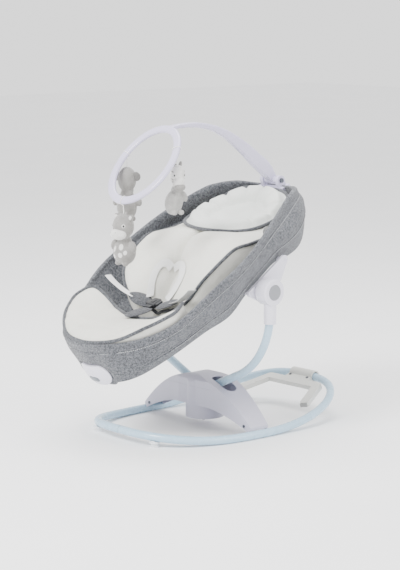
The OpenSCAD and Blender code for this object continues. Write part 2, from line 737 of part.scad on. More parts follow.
module head_pillow() {
    function plan(a, q) = let (r = super_r(a, 132, 128, 2.3) * q) [r * cos(a), pillow_mid + r * sin(a)];
    function under(p) = max(back_top(p[0], p[1]), sling_z(p[0], p[1], wall) + 33) + 4;
    function ring(q, f, lift) = [for (i = [0 : pad_steps - 1])
        let (p = plan(360 * i / pad_steps, q))
            [p[0], p[1], under(p) + 24 * f * (1.25 - 0.35 * q * q) + lift]];
    color("#f6f6f4") in_seat() skin(concat(
        [for (q = [0.05, 0.5, 0.85]) ring(q, 0, 0)],
        [ring(0.97, 0, 2), ring(1, 0.5, 0), ring(0.97, 0.9, 0)],
        [for (q = [0.85, 0.5, 0.05]) ring(q, 1, 0)]
    ));
}

// ---------- harness ----------

module cover_slab(length, width, thick) {
    hull() for (s = [-1, 1]) translate([s * (length - width) / 2, 0, 0])
        cylinder(r1 = width / 2, r2 = width / 2 - 3, h = thick, $fn = 32);
}

cover_s = -178;
cover_z = 20;

module waist_cover() {
    translate([54, cover_s, cover_z + 6.5]) rotate([0, -14, 4]) cover_slab(80, 38, 9);
}

module waist_cover_right() { color("#6f7276") in_seat() waist_cover(); }
module waist_cover_left() { color("#6f7276") in_seat() mirror([1, 0, 0]) waist_cover(); }

module crotch_cover() {
    color("#6f7276") in_seat() translate([0, cover_s - 54, cover_z + 15]) rotate([0, 15, 90])
        cover_slab(70, 40, 9);
}

module harness_buckle() {
    color("#1d1e21") in_seat() translate([0, cover_s, cover_z]) rounded_box([26, 30, 11], 5);
}

// a flat strap along a list of points, square to the X axis or to the seat
module strap(path, width, thick) {
    n = len(path);
    rings = [for (i = [0 : n - 1]) let (
        t = tangent(path, i), u = unit(cross(t, [0, 0.25, 1])), v = unit(cross(u, t)))
        [for (c = [[-1, -1], [-1, 1], [1, 1], [1, -1]])
            path[i] + c[0] * width / 2 * u + c[1] * thick / 2 * v]];
    skin(rings);
}

waist_strap_path = [[92, -178, 38], [120, -178, 49], [148, -177, 67], [172, -174, 84]];

module waist_strap_right() { color("#f2f2f2") in_seat() strap(waist_strap_path, 24, 1.6); }
module waist_strap_left() {
    color("#f2f2f2") in_seat() mirror([1, 0, 0]) strap(waist_strap_path, 24, 1.6);
}

shoulder_strap_path = [for (s = [-80 : -12 : -152]) [44, s, back_top(44, s) + 7]];

module shoulder_strap_right() { color("#f2f2f2") in_seat() strap(shoulder_strap_path, 24, 1.6); }
module shoulder_strap_left() {
    color("#f2f2f2") in_seat() mirror([1, 0, 0]) strap(shoulder_strap_path, 24, 1.6);
}

// ---------- control pod ----------

pod_w = 112;
pod_h = 64;

// +Z points out of the pod's face
module in_pod() { translate([0, -415, -41]) rotate([102, 0, 0]) children(); }

module pod_oval(inset, h) {
    linear_extrude(h) hull() for (s = [-1, 1]) translate([s * (pod_w - pod_h) / 2, 0])
        circle(r = pod_h / 2 - inset, $fn = 64);
}

module pod_pocket() { in_pod() translate([0, 0, -60]) pod_oval(-0.8, 120); }

module pod_base() {
    color("#8b8d92") in_seat() in_pod() difference() {
        translate([0, 0, -30]) pod_oval(0, 30);
        translate([0, 0, -27]) pod_oval(3, 40);
    }
}

module pod_dome(inset, z0) {
    intersection() {
        translate([0, 0, z0]) pod_oval(inset, 40);
        translate([0, 0, -78]) sphere(r = 100 - inset, $fn = 128);
    }
}

module pod_shell() {
    color("#f7f7fa") in_seat() in_pod() difference() {
        pod_dome(0.6, 0.4);
        pod_dome(3.2, 0);
        translate([0, -9, 0]) linear_extrude(40) hull() for (s = [-1, 1])
            translate([s * 11, 0]) circle(r = 8.4, $fn = 40);
        for (s = [-1, 1]) translate([s * 5, 9, 0]) cylinder(r = 1.4, h = 40, $fn = 24);
    }
}

module pod_button() {
    color("#6f7479") in_seat() in_pod() intersection() {
        translate([0, -9, 8]) linear_extrude(30) hull() for (s = [-1, 1])
            translate([s * 11, 0]) circle(r = 8, $fn = 40);
        translate([0, 0, -78]) sphere(r = 100.4, $fn = 128);
    }
}

module pod_board() {
    color("#2f7d4f") in_seat() in_pod() translate([0, 0, 1]) difference() {
        pod_oval(6, 1.6);
        for (s = [-1, 1]) translate([s * 40, 0, -1]) cylinder(r = 1.6, h = 4, $fn = 24);
    }
}

module pod_speaker() {
    color("#34363b") in_seat() in_pod() translate([28, 0, -25.5]) {
        cylinder(r = 18, h = 6, $fn = 48);
        translate([0, 0, 6]) cylinder(r = 11, h = 8, $fn = 48);
    }
}

module pod_battery() {
    color("#c7a24a") in_seat() in_pod() for (x = [-34, -18.5, -3]) translate([x, 22, -19])
        rotate([90, 0, 0]) cylinder(r = 7.1, h = 44, $fn = 40);
}

// ---------- toy bar ----------

bar_y = 246;            // the fold axis, from the swing axis and the floor
bar_z = 652;
fold_pin_r = 4;

module at_fold() { at_hub() translate([0, bar_y, bar_z]) children(); }

// the space in the head of the tub that the mount is set into
module mount_room() {
    at_fold() rotate([seat_tilt, 0, 0]) {
        translate([-50.6, -16.6, -28.6]) cube([101.2, 31.2, 45]);
        translate([-18.6, 9.4, -50.6]) cube([37.2, 10.2, 34]);
    }
}

module toy_bar_mount() {
    color("#ecebf4") at_fold() rotate([seat_tilt, 0, 0]) difference() {
        union() {
            translate([-50, -16, -28]) cube([100, 30, 12]);
            for (x = [-36, 24]) translate([x, 0, 0]) rotate([90, 0, 90]) linear_extrude(12) hull() {
                circle(r = 13.5, $fn = 64);
                translate([-13, -22]) square([24, 4]);
            }
            translate([-18, 10, -50]) cube([36, 9, 33]);
        }
        x_cylinder(fold_pin_r + 0.05, -60, 60, 40);
    }
}

module toy_bar_pin() {
    color("#4c4e54") at_fold() {
        x_cylinder(fold_pin_r, -37, 37, 40);
        for (s = [-1, 1]) x_cylinder(6.5, s * 38 - 2, s * 38 + 2, 40);
    }
}

// the blade arm, as stations from the fold axis to the ring: [y, z, depth of the blade]
arm_stations = [[229, 673, 38], [208, 692, 42], [181, 711, 40], [148, 738, 35], [110, 764, 29],
    [72, 786, 23], [36, 801, 18], [0, 810, 16], [-34, 815, 15], [-68, 816, 13], [-98, 814, 12],
    [-124, 810, 11]];
arm_half_w = 11;

function arm_section(i) =
    let (p = [0, arm_stations[i][0], arm_stations[i][1]], d = arm_stations[i][2] / 2, w = arm_half_w,
         q0 = arm_stations[max(0, i - 1)], q1 = arm_stations[min(len(arm_stations) - 1, i + 1)],
         t = unit([0, q1[0] - q0[0], q1[1] - q0[1]]), n = [0, t[2], -t[1]])
        [for (k = [0 : 15]) let (a = 22.5 * k + 11.25)
            p + w * signed_pow(cos(a), 0.55) * [1, 0, 0] + d * signed_pow(sin(a), 0.55) * n];

module toy_bar_arm() {
    color("#e9e8f3") at_hub() difference() {
        union() {
            skin([for (i = [0 : len(arm_stations) - 1]) arm_section(i)]);
            translate([0, bar_y, bar_z]) x_cylinder(10, -23, 23, 64);
            translate([-11, 0, 0]) rotate([90, 0, 90]) linear_extrude(22) hull() {
                translate([bar_y, bar_z]) circle(r = 10, $fn = 32);
                translate([226, 676]) circle(r = 14, $fn = 32);
            }
        }
        translate([0, bar_y, bar_z]) x_cylinder(fold_pin_r + 0.05, -60, 60, 40);
    }
}

ring_c = [-208, 720];
ring_band = 22;
ring_thick = 12;

// a point on the toy ring's centre line, pushed out by e in its plane and up by h square to it
function toy_ring_point(a, e = 0, h = 0) =
    let (u = (toy_ring_w + e) * cos(a), v = (toy_ring_l + e) * sin(a),
         c = cos(toy_ring_tilt), s = sin(toy_ring_tilt))
        [u, ring_c[0] + v * c - h * s, ring_c[1] + v * s + h * c];

module toy_ring() {
    n = 56;
    m = 12;
    rings = [for (i = [0 : n - 1]) [for (k = [0 : m - 1]) let (b = 360 * k / m + 15)
        toy_ring_point(360 * i / n, ring_band / 2 * signed_pow(cos(b), 0.7),
            ring_thick / 2 * signed_pow(sin(b), 0.7))]];
    color("#ebeaf4") at_hub() polyhedron(points = [for (r = rings) each r],
        faces = [for (i = [0 : n - 1]) each band(i * m, ((i + 1) % n) * m, m, true)], convexity = 6);
}

// ---------- hanging toys ----------

// each toy hangs from the ring: [angle on the ring, drop of the string]
hang = [[165, 26], [272, 24], [30, 24]];
string_r = 1;
function hang_point(i) = toy_ring_point(hang[i][0]) + [0, 0, -ring_thick / 2 - 7.2];

module at_toy(i) { at_hub() translate(hang_point(i) + [0, 0, -hang[i][1] - 8]) children(); }

// a string with the eyelet that it swings on
module toy_string(i) {
    color("#f4f4f4") at_hub() translate(hang_point(i)) {
        translate([0, 0, -hang[i][1] - 7]) cylinder(r = string_r, h = hang[i][1] + 7, $fn = 16);
        x_cylinder(2.2, -1.5, 1.5, 24);
    }
}

module toy_string_a() { toy_string(0); }
module toy_string_b() { toy_string(1); }
module toy_string_c() { toy_string(2); }

// a plush body: head, belly, arms, legs and ears as overlapping balls
module plush(head_r, belly_r, drop, ear_r, ear_out) {
    fn = 20;
    translate([0, 0, -head_r]) sphere(r = head_r, $fn = fn);
    hull() {
        translate([0, 0, -head_r * 1.8]) sphere(r = belly_r * 0.6, $fn = fn);
        translate([0, 0, -drop + belly_r]) sphere(r = belly_r, $fn = fn);
    }
    both_sides() {
        translate([head_r * ear_out, 0, -head_r * 0.4]) sphere(r = ear_r, $fn = 14);
        hull() {
            translate([belly_r * 0.7, 0, -head_r * 2.1]) sphere(r = 7, $fn = 12);
            translate([belly_r * 1.15, -6, -head_r * 2.1 - 14]) sphere(r = 8, $fn = 12);
        }
        translate([belly_r * 0.6, -8, -drop + 9]) sphere(r = 9, $fn = 14);
    }
}

module toy_elephant() { color("#a3a3a3") at_toy(0) plush(20, 24, 150, 9, 0.8); }
module toy_giraffe() { color("#a8a6a3") at_toy(1) plush(20, 24, 134, 6, 0.75); }
module toy_zebra() { color("#c9c8c6") at_toy(2) plush(20, 21, 132, 6, 0.75); }

// ---------- assembly ----------

base_tube_left();
base_tube_right();
front_feet();
hub_housing();
hub_cover();
hub_base_plate();
hub_screws();
drive_motor();
motor_pinion();
shaft_bearings();
circuit_board();
power_inlet();
swing_shaft();
sector_gear();
arm_yoke();
swing_arm_tube();
arm_socket_left();
arm_socket_right();
release_button_left();
release_button_right();
release_spring_left();
release_spring_right();
stabiliser_bar();
stabiliser_pads();
stabiliser_screws();
seat_frame_foot();
seat_frame_head();
seat_bracket_left();
seat_bracket_right();
bracket_screws();
seat_tub();
foot_pad();
back_pad();
head_pillow();
waist_cover_left();
waist_cover_right();
crotch_cover();
harness_buckle();
waist_strap_left();
waist_strap_right();
shoulder_strap_left();
shoulder_strap_right();
pod_base();
pod_shell();
pod_button();
pod_board();
pod_speaker();
pod_battery();
toy_bar_mount();
toy_bar_pin();
toy_bar_arm();
toy_ring();
toy_string_a();
toy_elephant();
toy_string_b();
toy_giraffe();
toy_string_c();
toy_zebra();
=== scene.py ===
import json
import math

import bmesh
import bpy
import numpy as np
from mathutils import Matrix, Vector, noise
from mathutils.bvhtree import BVHTree


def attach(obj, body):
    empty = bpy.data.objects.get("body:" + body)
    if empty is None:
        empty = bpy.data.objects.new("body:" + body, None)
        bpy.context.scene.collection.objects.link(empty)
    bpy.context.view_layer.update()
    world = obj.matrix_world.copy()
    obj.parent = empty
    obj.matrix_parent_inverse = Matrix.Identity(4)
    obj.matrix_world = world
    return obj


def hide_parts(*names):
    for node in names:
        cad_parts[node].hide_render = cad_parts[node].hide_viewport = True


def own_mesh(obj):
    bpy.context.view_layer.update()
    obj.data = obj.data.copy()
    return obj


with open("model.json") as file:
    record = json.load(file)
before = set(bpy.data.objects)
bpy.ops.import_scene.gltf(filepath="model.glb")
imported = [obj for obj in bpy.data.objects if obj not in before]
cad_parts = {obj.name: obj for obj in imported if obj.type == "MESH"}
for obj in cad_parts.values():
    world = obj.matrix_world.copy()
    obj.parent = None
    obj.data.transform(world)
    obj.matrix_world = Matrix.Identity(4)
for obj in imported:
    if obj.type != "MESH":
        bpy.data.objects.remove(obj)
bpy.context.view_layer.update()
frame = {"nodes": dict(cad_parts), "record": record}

JOINTS = {j["name"]: j for j in frame["record"]["behaviour"]["joints"]}
PIVOT = np.array(JOINTS["seat_recline"]["pos_m"])
HUB_Y = PIVOT[1]
TILT = math.radians(23)
SEAT_Y = np.array([0, math.cos(TILT), math.sin(TILT)])
SEAT_Z = np.array([0, -math.sin(TILT), math.cos(TILT)])

# ---- camera



def linked(name, data):
    o = bpy.data.objects.new(name, data)
    bpy.context.scene.collection.objects.link(o)
    return o


camera = linked("camera", bpy.data.cameras.new("camera"))
camera.data.lens = 120
camera.location = (3.818, HUB_Y - 3.321, 1.163)
camera.rotation_euler = (math.radians(90 - 8.77), 0, math.radians(49.13))
bpy.context.scene.camera = camera

# ---- materials


def linear(hexed):
    c = [int(hexed[i : i + 2], 16) / 255 for i in (1, 3, 5)]
    return tuple(v / 12.92 if v <= 0.04045 else ((v + 0.055) / 1.055) ** 2.4 for v in c) + (1.0,)


class Look:
    """A node material under construction."""

    def __init__(self, name, **shader):
        self.mat = bpy.data.materials.new(name)
        self.mat.use_nodes = True
        self.tree = self.mat.node_tree
        self.shader = self.tree.nodes["Principled BSDF"]
        for key, value in shader.items():
            self.shader.inputs[key.replace("_", " ")].default_value = value
        self.coords = self.node("TexCoord")

    def node(self, kind, inputs=None, **settings):
        n = self.tree.nodes.new("ShaderNode" + kind)
        for key, value in settings.items():
            setattr(n, key, value)
        for key, value in (inputs or {}).items():
            if isinstance(value, bpy.types.NodeSocket):
                self.tree.links.new(value, n.inputs[key])
            else:
                n.inputs[key].default_value = value
        return n

    def math(self, op, a, b=0.0):
        return self.node("Math", {0: a, 1: b}, operation=op).outputs[0]

    def scaled(self, by, space="Object"):
        return self.node("Mapping", {"Vector": self.coords.outputs[space], "Scale": by}).outputs[0]

    def noise(self, scale, detail=3.0, by=(1, 1, 1), space="Object"):
        return self.node(
            "TexNoise", {"Vector": self.scaled(by, space), "Scale": scale, "Detail": detail}
        ).outputs[0]

    def ramp(self, fac, stops):
        n = self.node("ValToRGB", {"Fac": fac})
        while len(n.color_ramp.elements) < len(stops):
            n.color_ramp.elements.new(0.5)
        for e, (at, colour) in zip(n.color_ramp.elements, stops):
            e.position = at
            e.color = linear(colour)
        return n.outputs[0]

    def span(self, fac, low, high):
        return self.node("MapRange", {"Value": fac, "To Min": low, "To Max": high}).outputs[0]

    def colour(self, socket):
        self.tree.links.new(socket, self.shader.inputs["Base Color"])

    def rough(self, socket):
        self.tree.links.new(socket, self.shader.inputs["Roughness"])

    def bump(self, height, strength, distance, under=None):
        n = self.node("Bump", {"Height": height, "Strength": strength, "Distance": distance})
        if under is not None:
            self.tree.links.new(under, n.inputs["Normal"])
        self.tree.links.new(n.outputs[0], self.shader.inputs["Normal"])
        return n.outputs[0]

    def mix(self, fac, a, b, blend="MIX"):
        n = self.node("MixRGB", {"Fac": fac, 1: a, 2: b}, blend_type=blend)
        return n.outputs[0]


def moulded(name, colour, shade, rough=0.32, grain=260, strength=0.05, coat=0.0):
    """Moulded or coated surface: fine grain, a little mottling and handling wear."""
    look = Look(name, Coat_Weight=coat, Coat_Roughness=0.12)
    look.colour(look.ramp(look.noise(7, 4), [(0.3, shade), (0.62, colour)]))
    look.rough(look.span(look.noise(38, 4), rough - 0.05, rough + 0.07))
    soft = look.bump(look.noise(26, 2), 0.012, 0.002)
    look.bump(look.noise(grain * 6, 2), strength, 0.0004, soft)
    return look.mat


def thread_height(look, pitch):
    """Plain weave from the piece's UVs, which are in metres. Returns (height, which thread is on top)."""
    uv = look.scaled((1 / pitch, 1 / pitch, 1), "UV")
    parts = look.node("SeparateXYZ", {0: uv})
    white, black = (1, 1, 1, 1), (0, 0, 0, 1)
    over = look.node("TexChecker", {"Vector": uv, "Scale": 1.0, "Color1": white, "Color2": black})
    threads = [
        look.math("ABSOLUTE", look.math("SINE", look.math("MULTIPLY", parts.outputs[i], math.pi)))
        for i in (0, 1)
    ]
    return look.mix(over.outputs[1], *threads), over.outputs[1]


def melange(name, dark, mid, light, pitch=0.0011):
    """Heathered woven cloth: two sets of streaky threads."""
    look = Look(name, Roughness=0.88, Sheen_Weight=0.25, Sheen_Roughness=0.5, Specular_IOR_Level=0.25)
    height, over = thread_height(look, pitch)
    weft = look.noise(1.0, 3, (150, 1300, 1), "UV")
    warp = look.noise(1.0, 3, (1300, 150, 1), "UV")
    flecks = look.noise(420, 2, space="UV")
    streak = look.mix(over, weft, warp)
    fac = look.mix(0.35, streak, flecks)
    tone = look.ramp(fac, [(0.33, dark), (0.5, mid), (0.66, light)])
    heather = look.ramp(look.noise(210, 3), [(0.36, "#9a9a9d"), (0.5, "#dcdcde"), (0.64, "#ffffff")])
    tone = look.mix(1.0, tone, heather, "MULTIPLY")
    patchy = look.ramp(look.noise(9, 3), [(0.3, "#e2e2e4"), (0.7, "#ffffff")])
    look.colour(look.mix(1.0, tone, patchy, "MULTIPLY"))
    soft = look.bump(look.noise(45, 3), 0.25, 0.004)
    look.bump(height, 0.5, 0.0006, soft)
    return look.mat


def cotton(name, colour, shade, pitch=0.0008, wrinkle=0.3):
    """Soft close weave with small puckers."""
    look = Look(name, Roughness=0.92, Sheen_Weight=0.3, Sheen_Roughness=0.45, Specular_IOR_Level=0.2)
    height, _ = thread_height(look, pitch)
    tone = look.ramp(look.noise(14, 4), [(0.25, shade), (0.6, colour)])
    slub = look.ramp(look.noise(1.0, 2, (200, 1500, 1), "UV"), [(0.25, "#eeeeec"), (0.6, "#ffffff")])
    look.colour(look.mix(1.0, tone, slub, "MULTIPLY"))
    look.rough(look.span(look.noise(90, 2), 0.84, 0.98))
    soft = look.bump(look.noise(30, 4), wrinkle, 0.006)
    look.bump(height, 0.35, 0.0004, soft)
    return look.mat


def plush(name, colour, shade, nap=0.9):
    """Short-pile plush."""
    look = Look(name, Roughness=0.95, Sheen_Weight=0.6, Sheen_Roughness=0.4, Specular_IOR_Level=0.1)
    tone = look.ramp(look.noise(55, 5), [(0.3, shade), (0.62, colour)])
    pile = look.ramp(look.noise(1400, 2), [(0.2, "#d2d2d0"), (0.55, "#ffffff")])
    look.colour(look.mix(1.0, tone, pile, "MULTIPLY"))
    clumps = look.bump(look.noise(190, 4), nap, 0.0035)
    look.bump(look.noise(1500, 3), 0.8, 0.001, clumps)
    return look.mat


def metal(name, colour, shade, rough=0.3, grain=(1, 1, 1)):
    look = Look(name, Metallic=1.0)
    look.colour(look.ramp(look.noise(30, 4, grain), [(0.3, shade), (0.7, colour)]))
    look.rough(look.span(look.noise(120, 3, grain), rough - 0.06, rough + 0.1))
    look.bump(look.noise(500, 2, grain), 0.08, 0.0003)
    return look.mat


MAT = {
    "tube": moulded("ice_blue_coat", "#a9c6da", "#a2bfd4", 0.26, 300, 0.05, 0.3),
    "hub": moulded("lilac_grey_plastic", "#b9b7c6", "#b1afbf", 0.36, 240, 0.06),
    "white": moulded("gloss_white_plastic", "#dad8e4", "#d2d0dd", 0.2, 240, 0.02, 0.35),
    "bar": moulded("lilac_white_plastic", "#c6c2da", "#beb9d3", 0.22, 240, 0.02, 0.3),
    "grey": moulded("grey_plastic", "#77797e", "#6e7076", 0.4, 240, 0.1),
    "button": moulded("button_grey_plastic", "#84868b", "#7b7c82", 0.34, 240, 0.06),
    "warm": moulded("warm_white_plastic", "#d0d0cb", "#c6c6c0", 0.34, 240, 0.07),
    "pad_rubber": moulded("grey_rubber", "#9b9b98", "#8d8d8a", 0.7, 200, 0.3),
    "foot_rubber": moulded("white_rubber", "#eceef0", "#dfe2e6", 0.6, 200, 0.2),
    "dark": moulded("dark_plastic", "#26272b", "#1d1e21", 0.35, 240, 0.08),
    "badge": moulded("badge_plastic", "#5d666e", "#4c545c", 0.28, 240, 0.05, 0.3),
    "gasket": moulded("gasket_rubber", "#4b4e54", "#404348", 0.6, 200, 0.2),
    "resin": moulded("gear_resin", "#ece4c8", "#e0d8ba", 0.4, 240, 0.08),
    "board": moulded("green_board", "#2f7d4f", "#266a42", 0.4, 240, 0.1),
    "cell": moulded("cell_sleeve", "#c9a04c", "#b98f3e", 0.3, 240, 0.05),
    "eye": moulded("eye_bead", "#141414", "#0c0c0c", 0.12, 240, 0.01, 0.5),
    "steel": metal("brushed_steel", "#c9ccd2", "#b4b8bf", 0.3, (1, 1, 8)),
    "screw": metal("dark_screw", "#6b6f76", "#565a61", 0.34),
    "case": metal("motor_case", "#b3b7bd", "#9da2a9", 0.3, (1, 1, 10)),
    "melange": melange("grey_melange", "#3b3d41", "#6c6f74", "#a8aaae"),
    "piping": melange("grey_piping", "#46494e", "#5e6166", "#8a8c90", 0.0008),
    "cover": melange("dark_melange", "#2f3135", "#505257", "#808287", 0.001),
    "liner": cotton("cream_liner", "#e3e2da", "#dad9d0"),
    "pillow": cotton("white_liner", "#e1e4e0", "#d8dbd7", 0.0008, 0.25),
    "webbing": cotton("white_webbing", "#e6e6e5", "#dbdbda", 0.0016, 0.05),
    "string": cotton("white_string", "#f4f3ef", "#e6e5e1", 0.0006, 0.1),
    "thread": cotton("thread", "#d9dadb", "#c4c5c7", 0.0004, 0.05),
    "plush_grey": plush("plush_grey", "#969491", "#888683", 0.5),
    "plush_dark": plush("plush_dark", "#7d7b79", "#706f6d", 0.5),
    "plush_soft": plush("plush_light", "#aeadaa", "#a1a09d"),
    "plush_white": plush("plush_white", "#e2e1de", "#d6d5d2", 0.4),
}

NODE_LOOKS = {
    "tube": "base_tube_left base_tube_right swing_arm_tube",
    "foot_rubber": "front_feet",
    "hub": "hub_housing hub_cover hub_base_plate",
    "screw": "hub_screws stabiliser_screws toy_bar_pin",
    "case": "drive_motor arm_yoke",
    "resin": "motor_pinion sector_gear",
    "steel": "shaft_bearings swing_shaft seat_frame_foot seat_frame_head",
    "board": "circuit_board pod_board",
    "dark": "power_inlet pod_speaker",
    "white": (
        "arm_socket_left arm_socket_right seat_bracket_left seat_bracket_right "
        "bracket_screws pod_shell"
    ),
    "button": "release_button_left release_button_right",
    "warm": "stabiliser_bar",
    "pad_rubber": "stabiliser_pads",
    "gasket": "pod_base",
    "badge": "pod_button",
    "cell": "pod_battery",
    "bar": "toy_bar_mount toy_bar_arm",
}
for key, names in NODE_LOOKS.items():
    for mesh in (frame["nodes"][name].data for name in names.split()):
        mesh.materials.clear()
        mesh.materials.append(MAT[key])
        mesh.polygons.foreach_set("use_smooth", [True] * len(mesh.polygons))
        mesh.set_sharp_from_angle(angle=math.radians(32))

# ---- mesh helpers


def curve(t, table):
    """A smooth curve through a table of (t, value), as the CAD draws it."""
    t = np.asarray(t, float)
    xs = np.array([p[0] for p in table], float)
    ys = np.array([p[1] for p in table], float)
    m = np.zeros_like(ys)
    m[1:-1] = (ys[2:] - ys[:-2]) / (xs[2:] - xs[:-2])
    i = np.clip(np.searchsorted(xs, t, side="right") - 1, 0, len(xs) - 2)
    h = xs[i + 1] - xs[i]
    u = np.clip((t - xs[i]) / h, 0, 1)
    return (
        (1 + 2 * u) * (1 - u) ** 2 * ys[i] + u * (1 - u) ** 2 * h * m[i]
        + u * u * (3 - 2 * u) * ys[i + 1] + u * u * (u - 1) * h * m[i + 1]
    )


def smooth(a, b, t):
    u = np.clip((np.asarray(t, float) - a) / (b - a), 0, 1)
    return u * u * (3 - 2 * u)


def seat(points):
    """Points (x, s, n) of the seat's frame in millimetres, as row-frame metres."""
    p = np.asarray(points, float) / 1000
    return PIVOT + p[..., :1] * np.array([1, 0, 0]) + p[..., 1:2] * SEAT_Y + p[..., 2:3] * SEAT_Z


def mesh_piece(name, verts, faces, look, body, uvs=None):
    """A mesh from arrays. uvs is one (u, v) in metres for each face corner."""
    me = bpy.data.meshes.new(name)
    me.from_pydata([tuple(v) for v in np.asarray(verts, float)], [], [list(f) for f in faces])
    if uvs is not None:
        me.uv_layers.new(name="uv").data.foreach_set("uv", np.asarray(uvs, np.float32).ravel())
    me.polygons.foreach_set("use_smooth", [True] * len(me.polygons))
    me.materials.append(MAT[look])
    me.update()
    o = linked(name, me)
    if body:
        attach(o, body)
    return o


def dressed(piece, node=None):
    """Hides the CAD node that a piece stands for, where it has one, and returns the piece."""
    if node:
        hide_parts(node)
    return piece


def ring_faces(rows, cols, start=0):
    """Quads between rows of a grid whose columns close into a ring."""
    faces = []
    for i in range(rows - 1):
        low, high = start + i * cols, start + (i + 1) * cols
        for k in range(cols):
            m = (k + 1) % cols
            faces.append((low + k, low + m, high + m, high + k))
    return faces


def loft(name, rings, look, body, caps=True):
    """A surface through rings of equal point count, with UVs in metres along and around."""
    rings = np.asarray(rings, float)
    rows, cols = rings.shape[:2]
    around = np.linalg.norm(np.roll(rings, -1, 1) - rings, axis=2).max(0)
    u = np.concatenate([[0], np.cumsum(around)])
    v = np.concatenate([[0], np.cumsum(np.linalg.norm(np.diff(rings, axis=0), axis=2).max(1))])
    faces = ring_faces(rows, cols)
    uvs = []
    for i in range(rows - 1):
        for k in range(cols):
            uvs += [(u[k], v[i]), (u[k + 1], v[i]), (u[k + 1], v[i + 1]), (u[k], v[i + 1])]
    if caps:
        for start, order in ((0, range(cols - 1, -1, -1)), ((rows - 1) * cols, range(cols))):
            faces.append([start + k for k in order])
            uvs += [(p[0], p[1]) for p in rings.reshape(-1, 3)[[start + k for k in order]]]
    return mesh_piece(name, rings.reshape(-1, 3), faces, look, body, uvs)


def frames_along(path, up, closed=False):
    """Side and up vectors of a path, square to it."""
    path = np.asarray(path, float)
    if closed:
        t = np.roll(path, -1, 0) - np.roll(path, 1, 0)
    else:
        t = np.gradient(path, axis=0)
    t /= np.linalg.norm(t, axis=1)[:, None]
    side = np.cross(t, np.asarray(up, float))
    side /= np.linalg.norm(side, axis=1)[:, None]
    return t, side, np.cross(side, t)


def swept(name, path, profile, look, body, up=(0, 0, 1), closed=False):
    """A profile of (side, up) points, in metres, swept along a path."""
    path = np.asarray(path, float)
    t, side, lift = frames_along(path, up, closed)
    profile = np.asarray(profile, float)
    rings = path[:, None] + profile[None, :, :1] * side[:, None] + profile[None, :, 1:2] * lift[:, None]
    if not closed:
        return loft(name, rings, look, body)
    rings = np.concatenate([rings, rings[:1]])
    return loft(name, rings, look, body, caps=False)


def circle(r, sides=24, squash=1.0, power=1.0):
    a = np.arange(sides) * 2 * math.pi / sides
    c, s = np.cos(a), np.sin(a)
    return np.stack([r * np.sign(c) * abs(c) ** power, r * squash * np.sign(s) * abs(s) ** power], 1)


def resample(path, step, closed=False):
    path = np.asarray(path, float)
    if closed:
        path = np.concatenate([path, path[:1]])
    d = np.concatenate([[0], np.cumsum(np.linalg.norm(np.diff(path, axis=0), axis=1))])
    n = max(3, int(round(d[-1] / step)))
    at = np.linspace(0, d[-1], n + 1)
    if closed:
        at = at[:-1]
    return np.stack([np.interp(at, d, path[:, i]) for i in range(3)], 1)


def rounded(path, passes=3, closed=False):
    path = np.asarray(path, float).copy()
    for _ in range(passes):
        if closed:
            path = 0.5 * path + 0.25 * (np.roll(path, 1, 0) + np.roll(path, -1, 0))
        else:
            path[1:-1] = 0.5 * path[1:-1] + 0.25 * (path[:-2] + path[2:])
    return path


def apply_all(o):
    deps = bpy.context.evaluated_depsgraph_get()
    baked = bpy.data.meshes.new_from_object(o.evaluated_get(deps), depsgraph=deps)
    o.modifiers.clear()
    o.data = baked


def wobble(p, seed):
    """Smooth noise for each point, about -1 to 1."""
    q = np.asarray(p, float) + seed
    return np.array([noise.noise(Vector(v)) for v in q.reshape(-1, 3)]).reshape(q.shape[:-1])


def ripple(x, s, seed, wide, long):
    """The same over a surface, with waves of about that width and length."""
    return wobble(np.stack([x / wide, s / long, 0 * x], -1), seed)


def bell(v, width):
    return np.exp(-((v / width) ** 2))


def coords(mesh):
    co = np.zeros(len(mesh.vertices) * 3)
    mesh.vertices.foreach_get("co", co)
    return co.reshape(-1, 3)


CLOTH_FRAMES = 20


def cushion(o, pins, cap):
    """Swells a closed cloth mesh by simulation, no point by more than cap metres.

    pins is a weight for each vertex that holds it where it is.
    """
    start = coords(o.data)
    group = o.vertex_groups.new(name="held")
    for i, w in enumerate(pins):
        if w > 0:
            group.add([i], float(w), "REPLACE")
    m = o.modifiers.new("cloth", "CLOTH")
    s = m.settings
    s.vertex_group_mass = "held"
    s.quality = 6
    s.mass = 0.25
    s.tension_stiffness = s.compression_stiffness = 12
    s.shear_stiffness = 6
    s.bending_stiffness = 0.4
    s.use_pressure = True
    s.uniform_pressure_force = 4.0
    s.effector_weights.gravity = 0
    m.collision_settings.use_collision = False
    scene = bpy.context.scene
    scene.frame_start, scene.frame_end = 1, CLOTH_FRAMES
    m.point_cache.frame_start, m.point_cache.frame_end = 1, CLOTH_FRAMES
    for f in range(1, CLOTH_FRAMES + 1):
        scene.frame_set(f)
    deps = bpy.context.evaluated_depsgraph_get()
    end = coords(o.evaluated_get(deps).to_mesh())
    o.evaluated_get(deps).to_mesh_clear()
    o.modifiers.clear()
    o.vertex_groups.clear()
    move = end - start
    size = np.linalg.norm(move, axis=1, keepdims=True)
    move *= np.minimum(1, cap / np.maximum(size, 1e-9))
    o.data.vertices.foreach_set("co", (start + move).ravel())
    o.data.update()
    scene.frame_set(1)


# ---- base ring, swing arm, toy ring

TUBE_R = 0.011
SIDES = ((1, "right"), (-1, "left"))


def ring_point(a):
    """The ring's centre line: a rounded oblong with both ends turned up."""
    wide, long, power = 223, 335, 2.8
    r = 1 / ((abs(math.cos(a)) / wide) ** power + (abs(math.sin(a)) / long) ** power) ** (1 / power)
    y = 41 + r * math.sin(a)
    z = 11 + 76 * (max(0, y - 14) / 362) ** 2 + 18 * (max(0, -68 - y) / 226) ** 2
    return (r * math.cos(a) / 1000, HUB_Y + y / 1000, z / 1000)


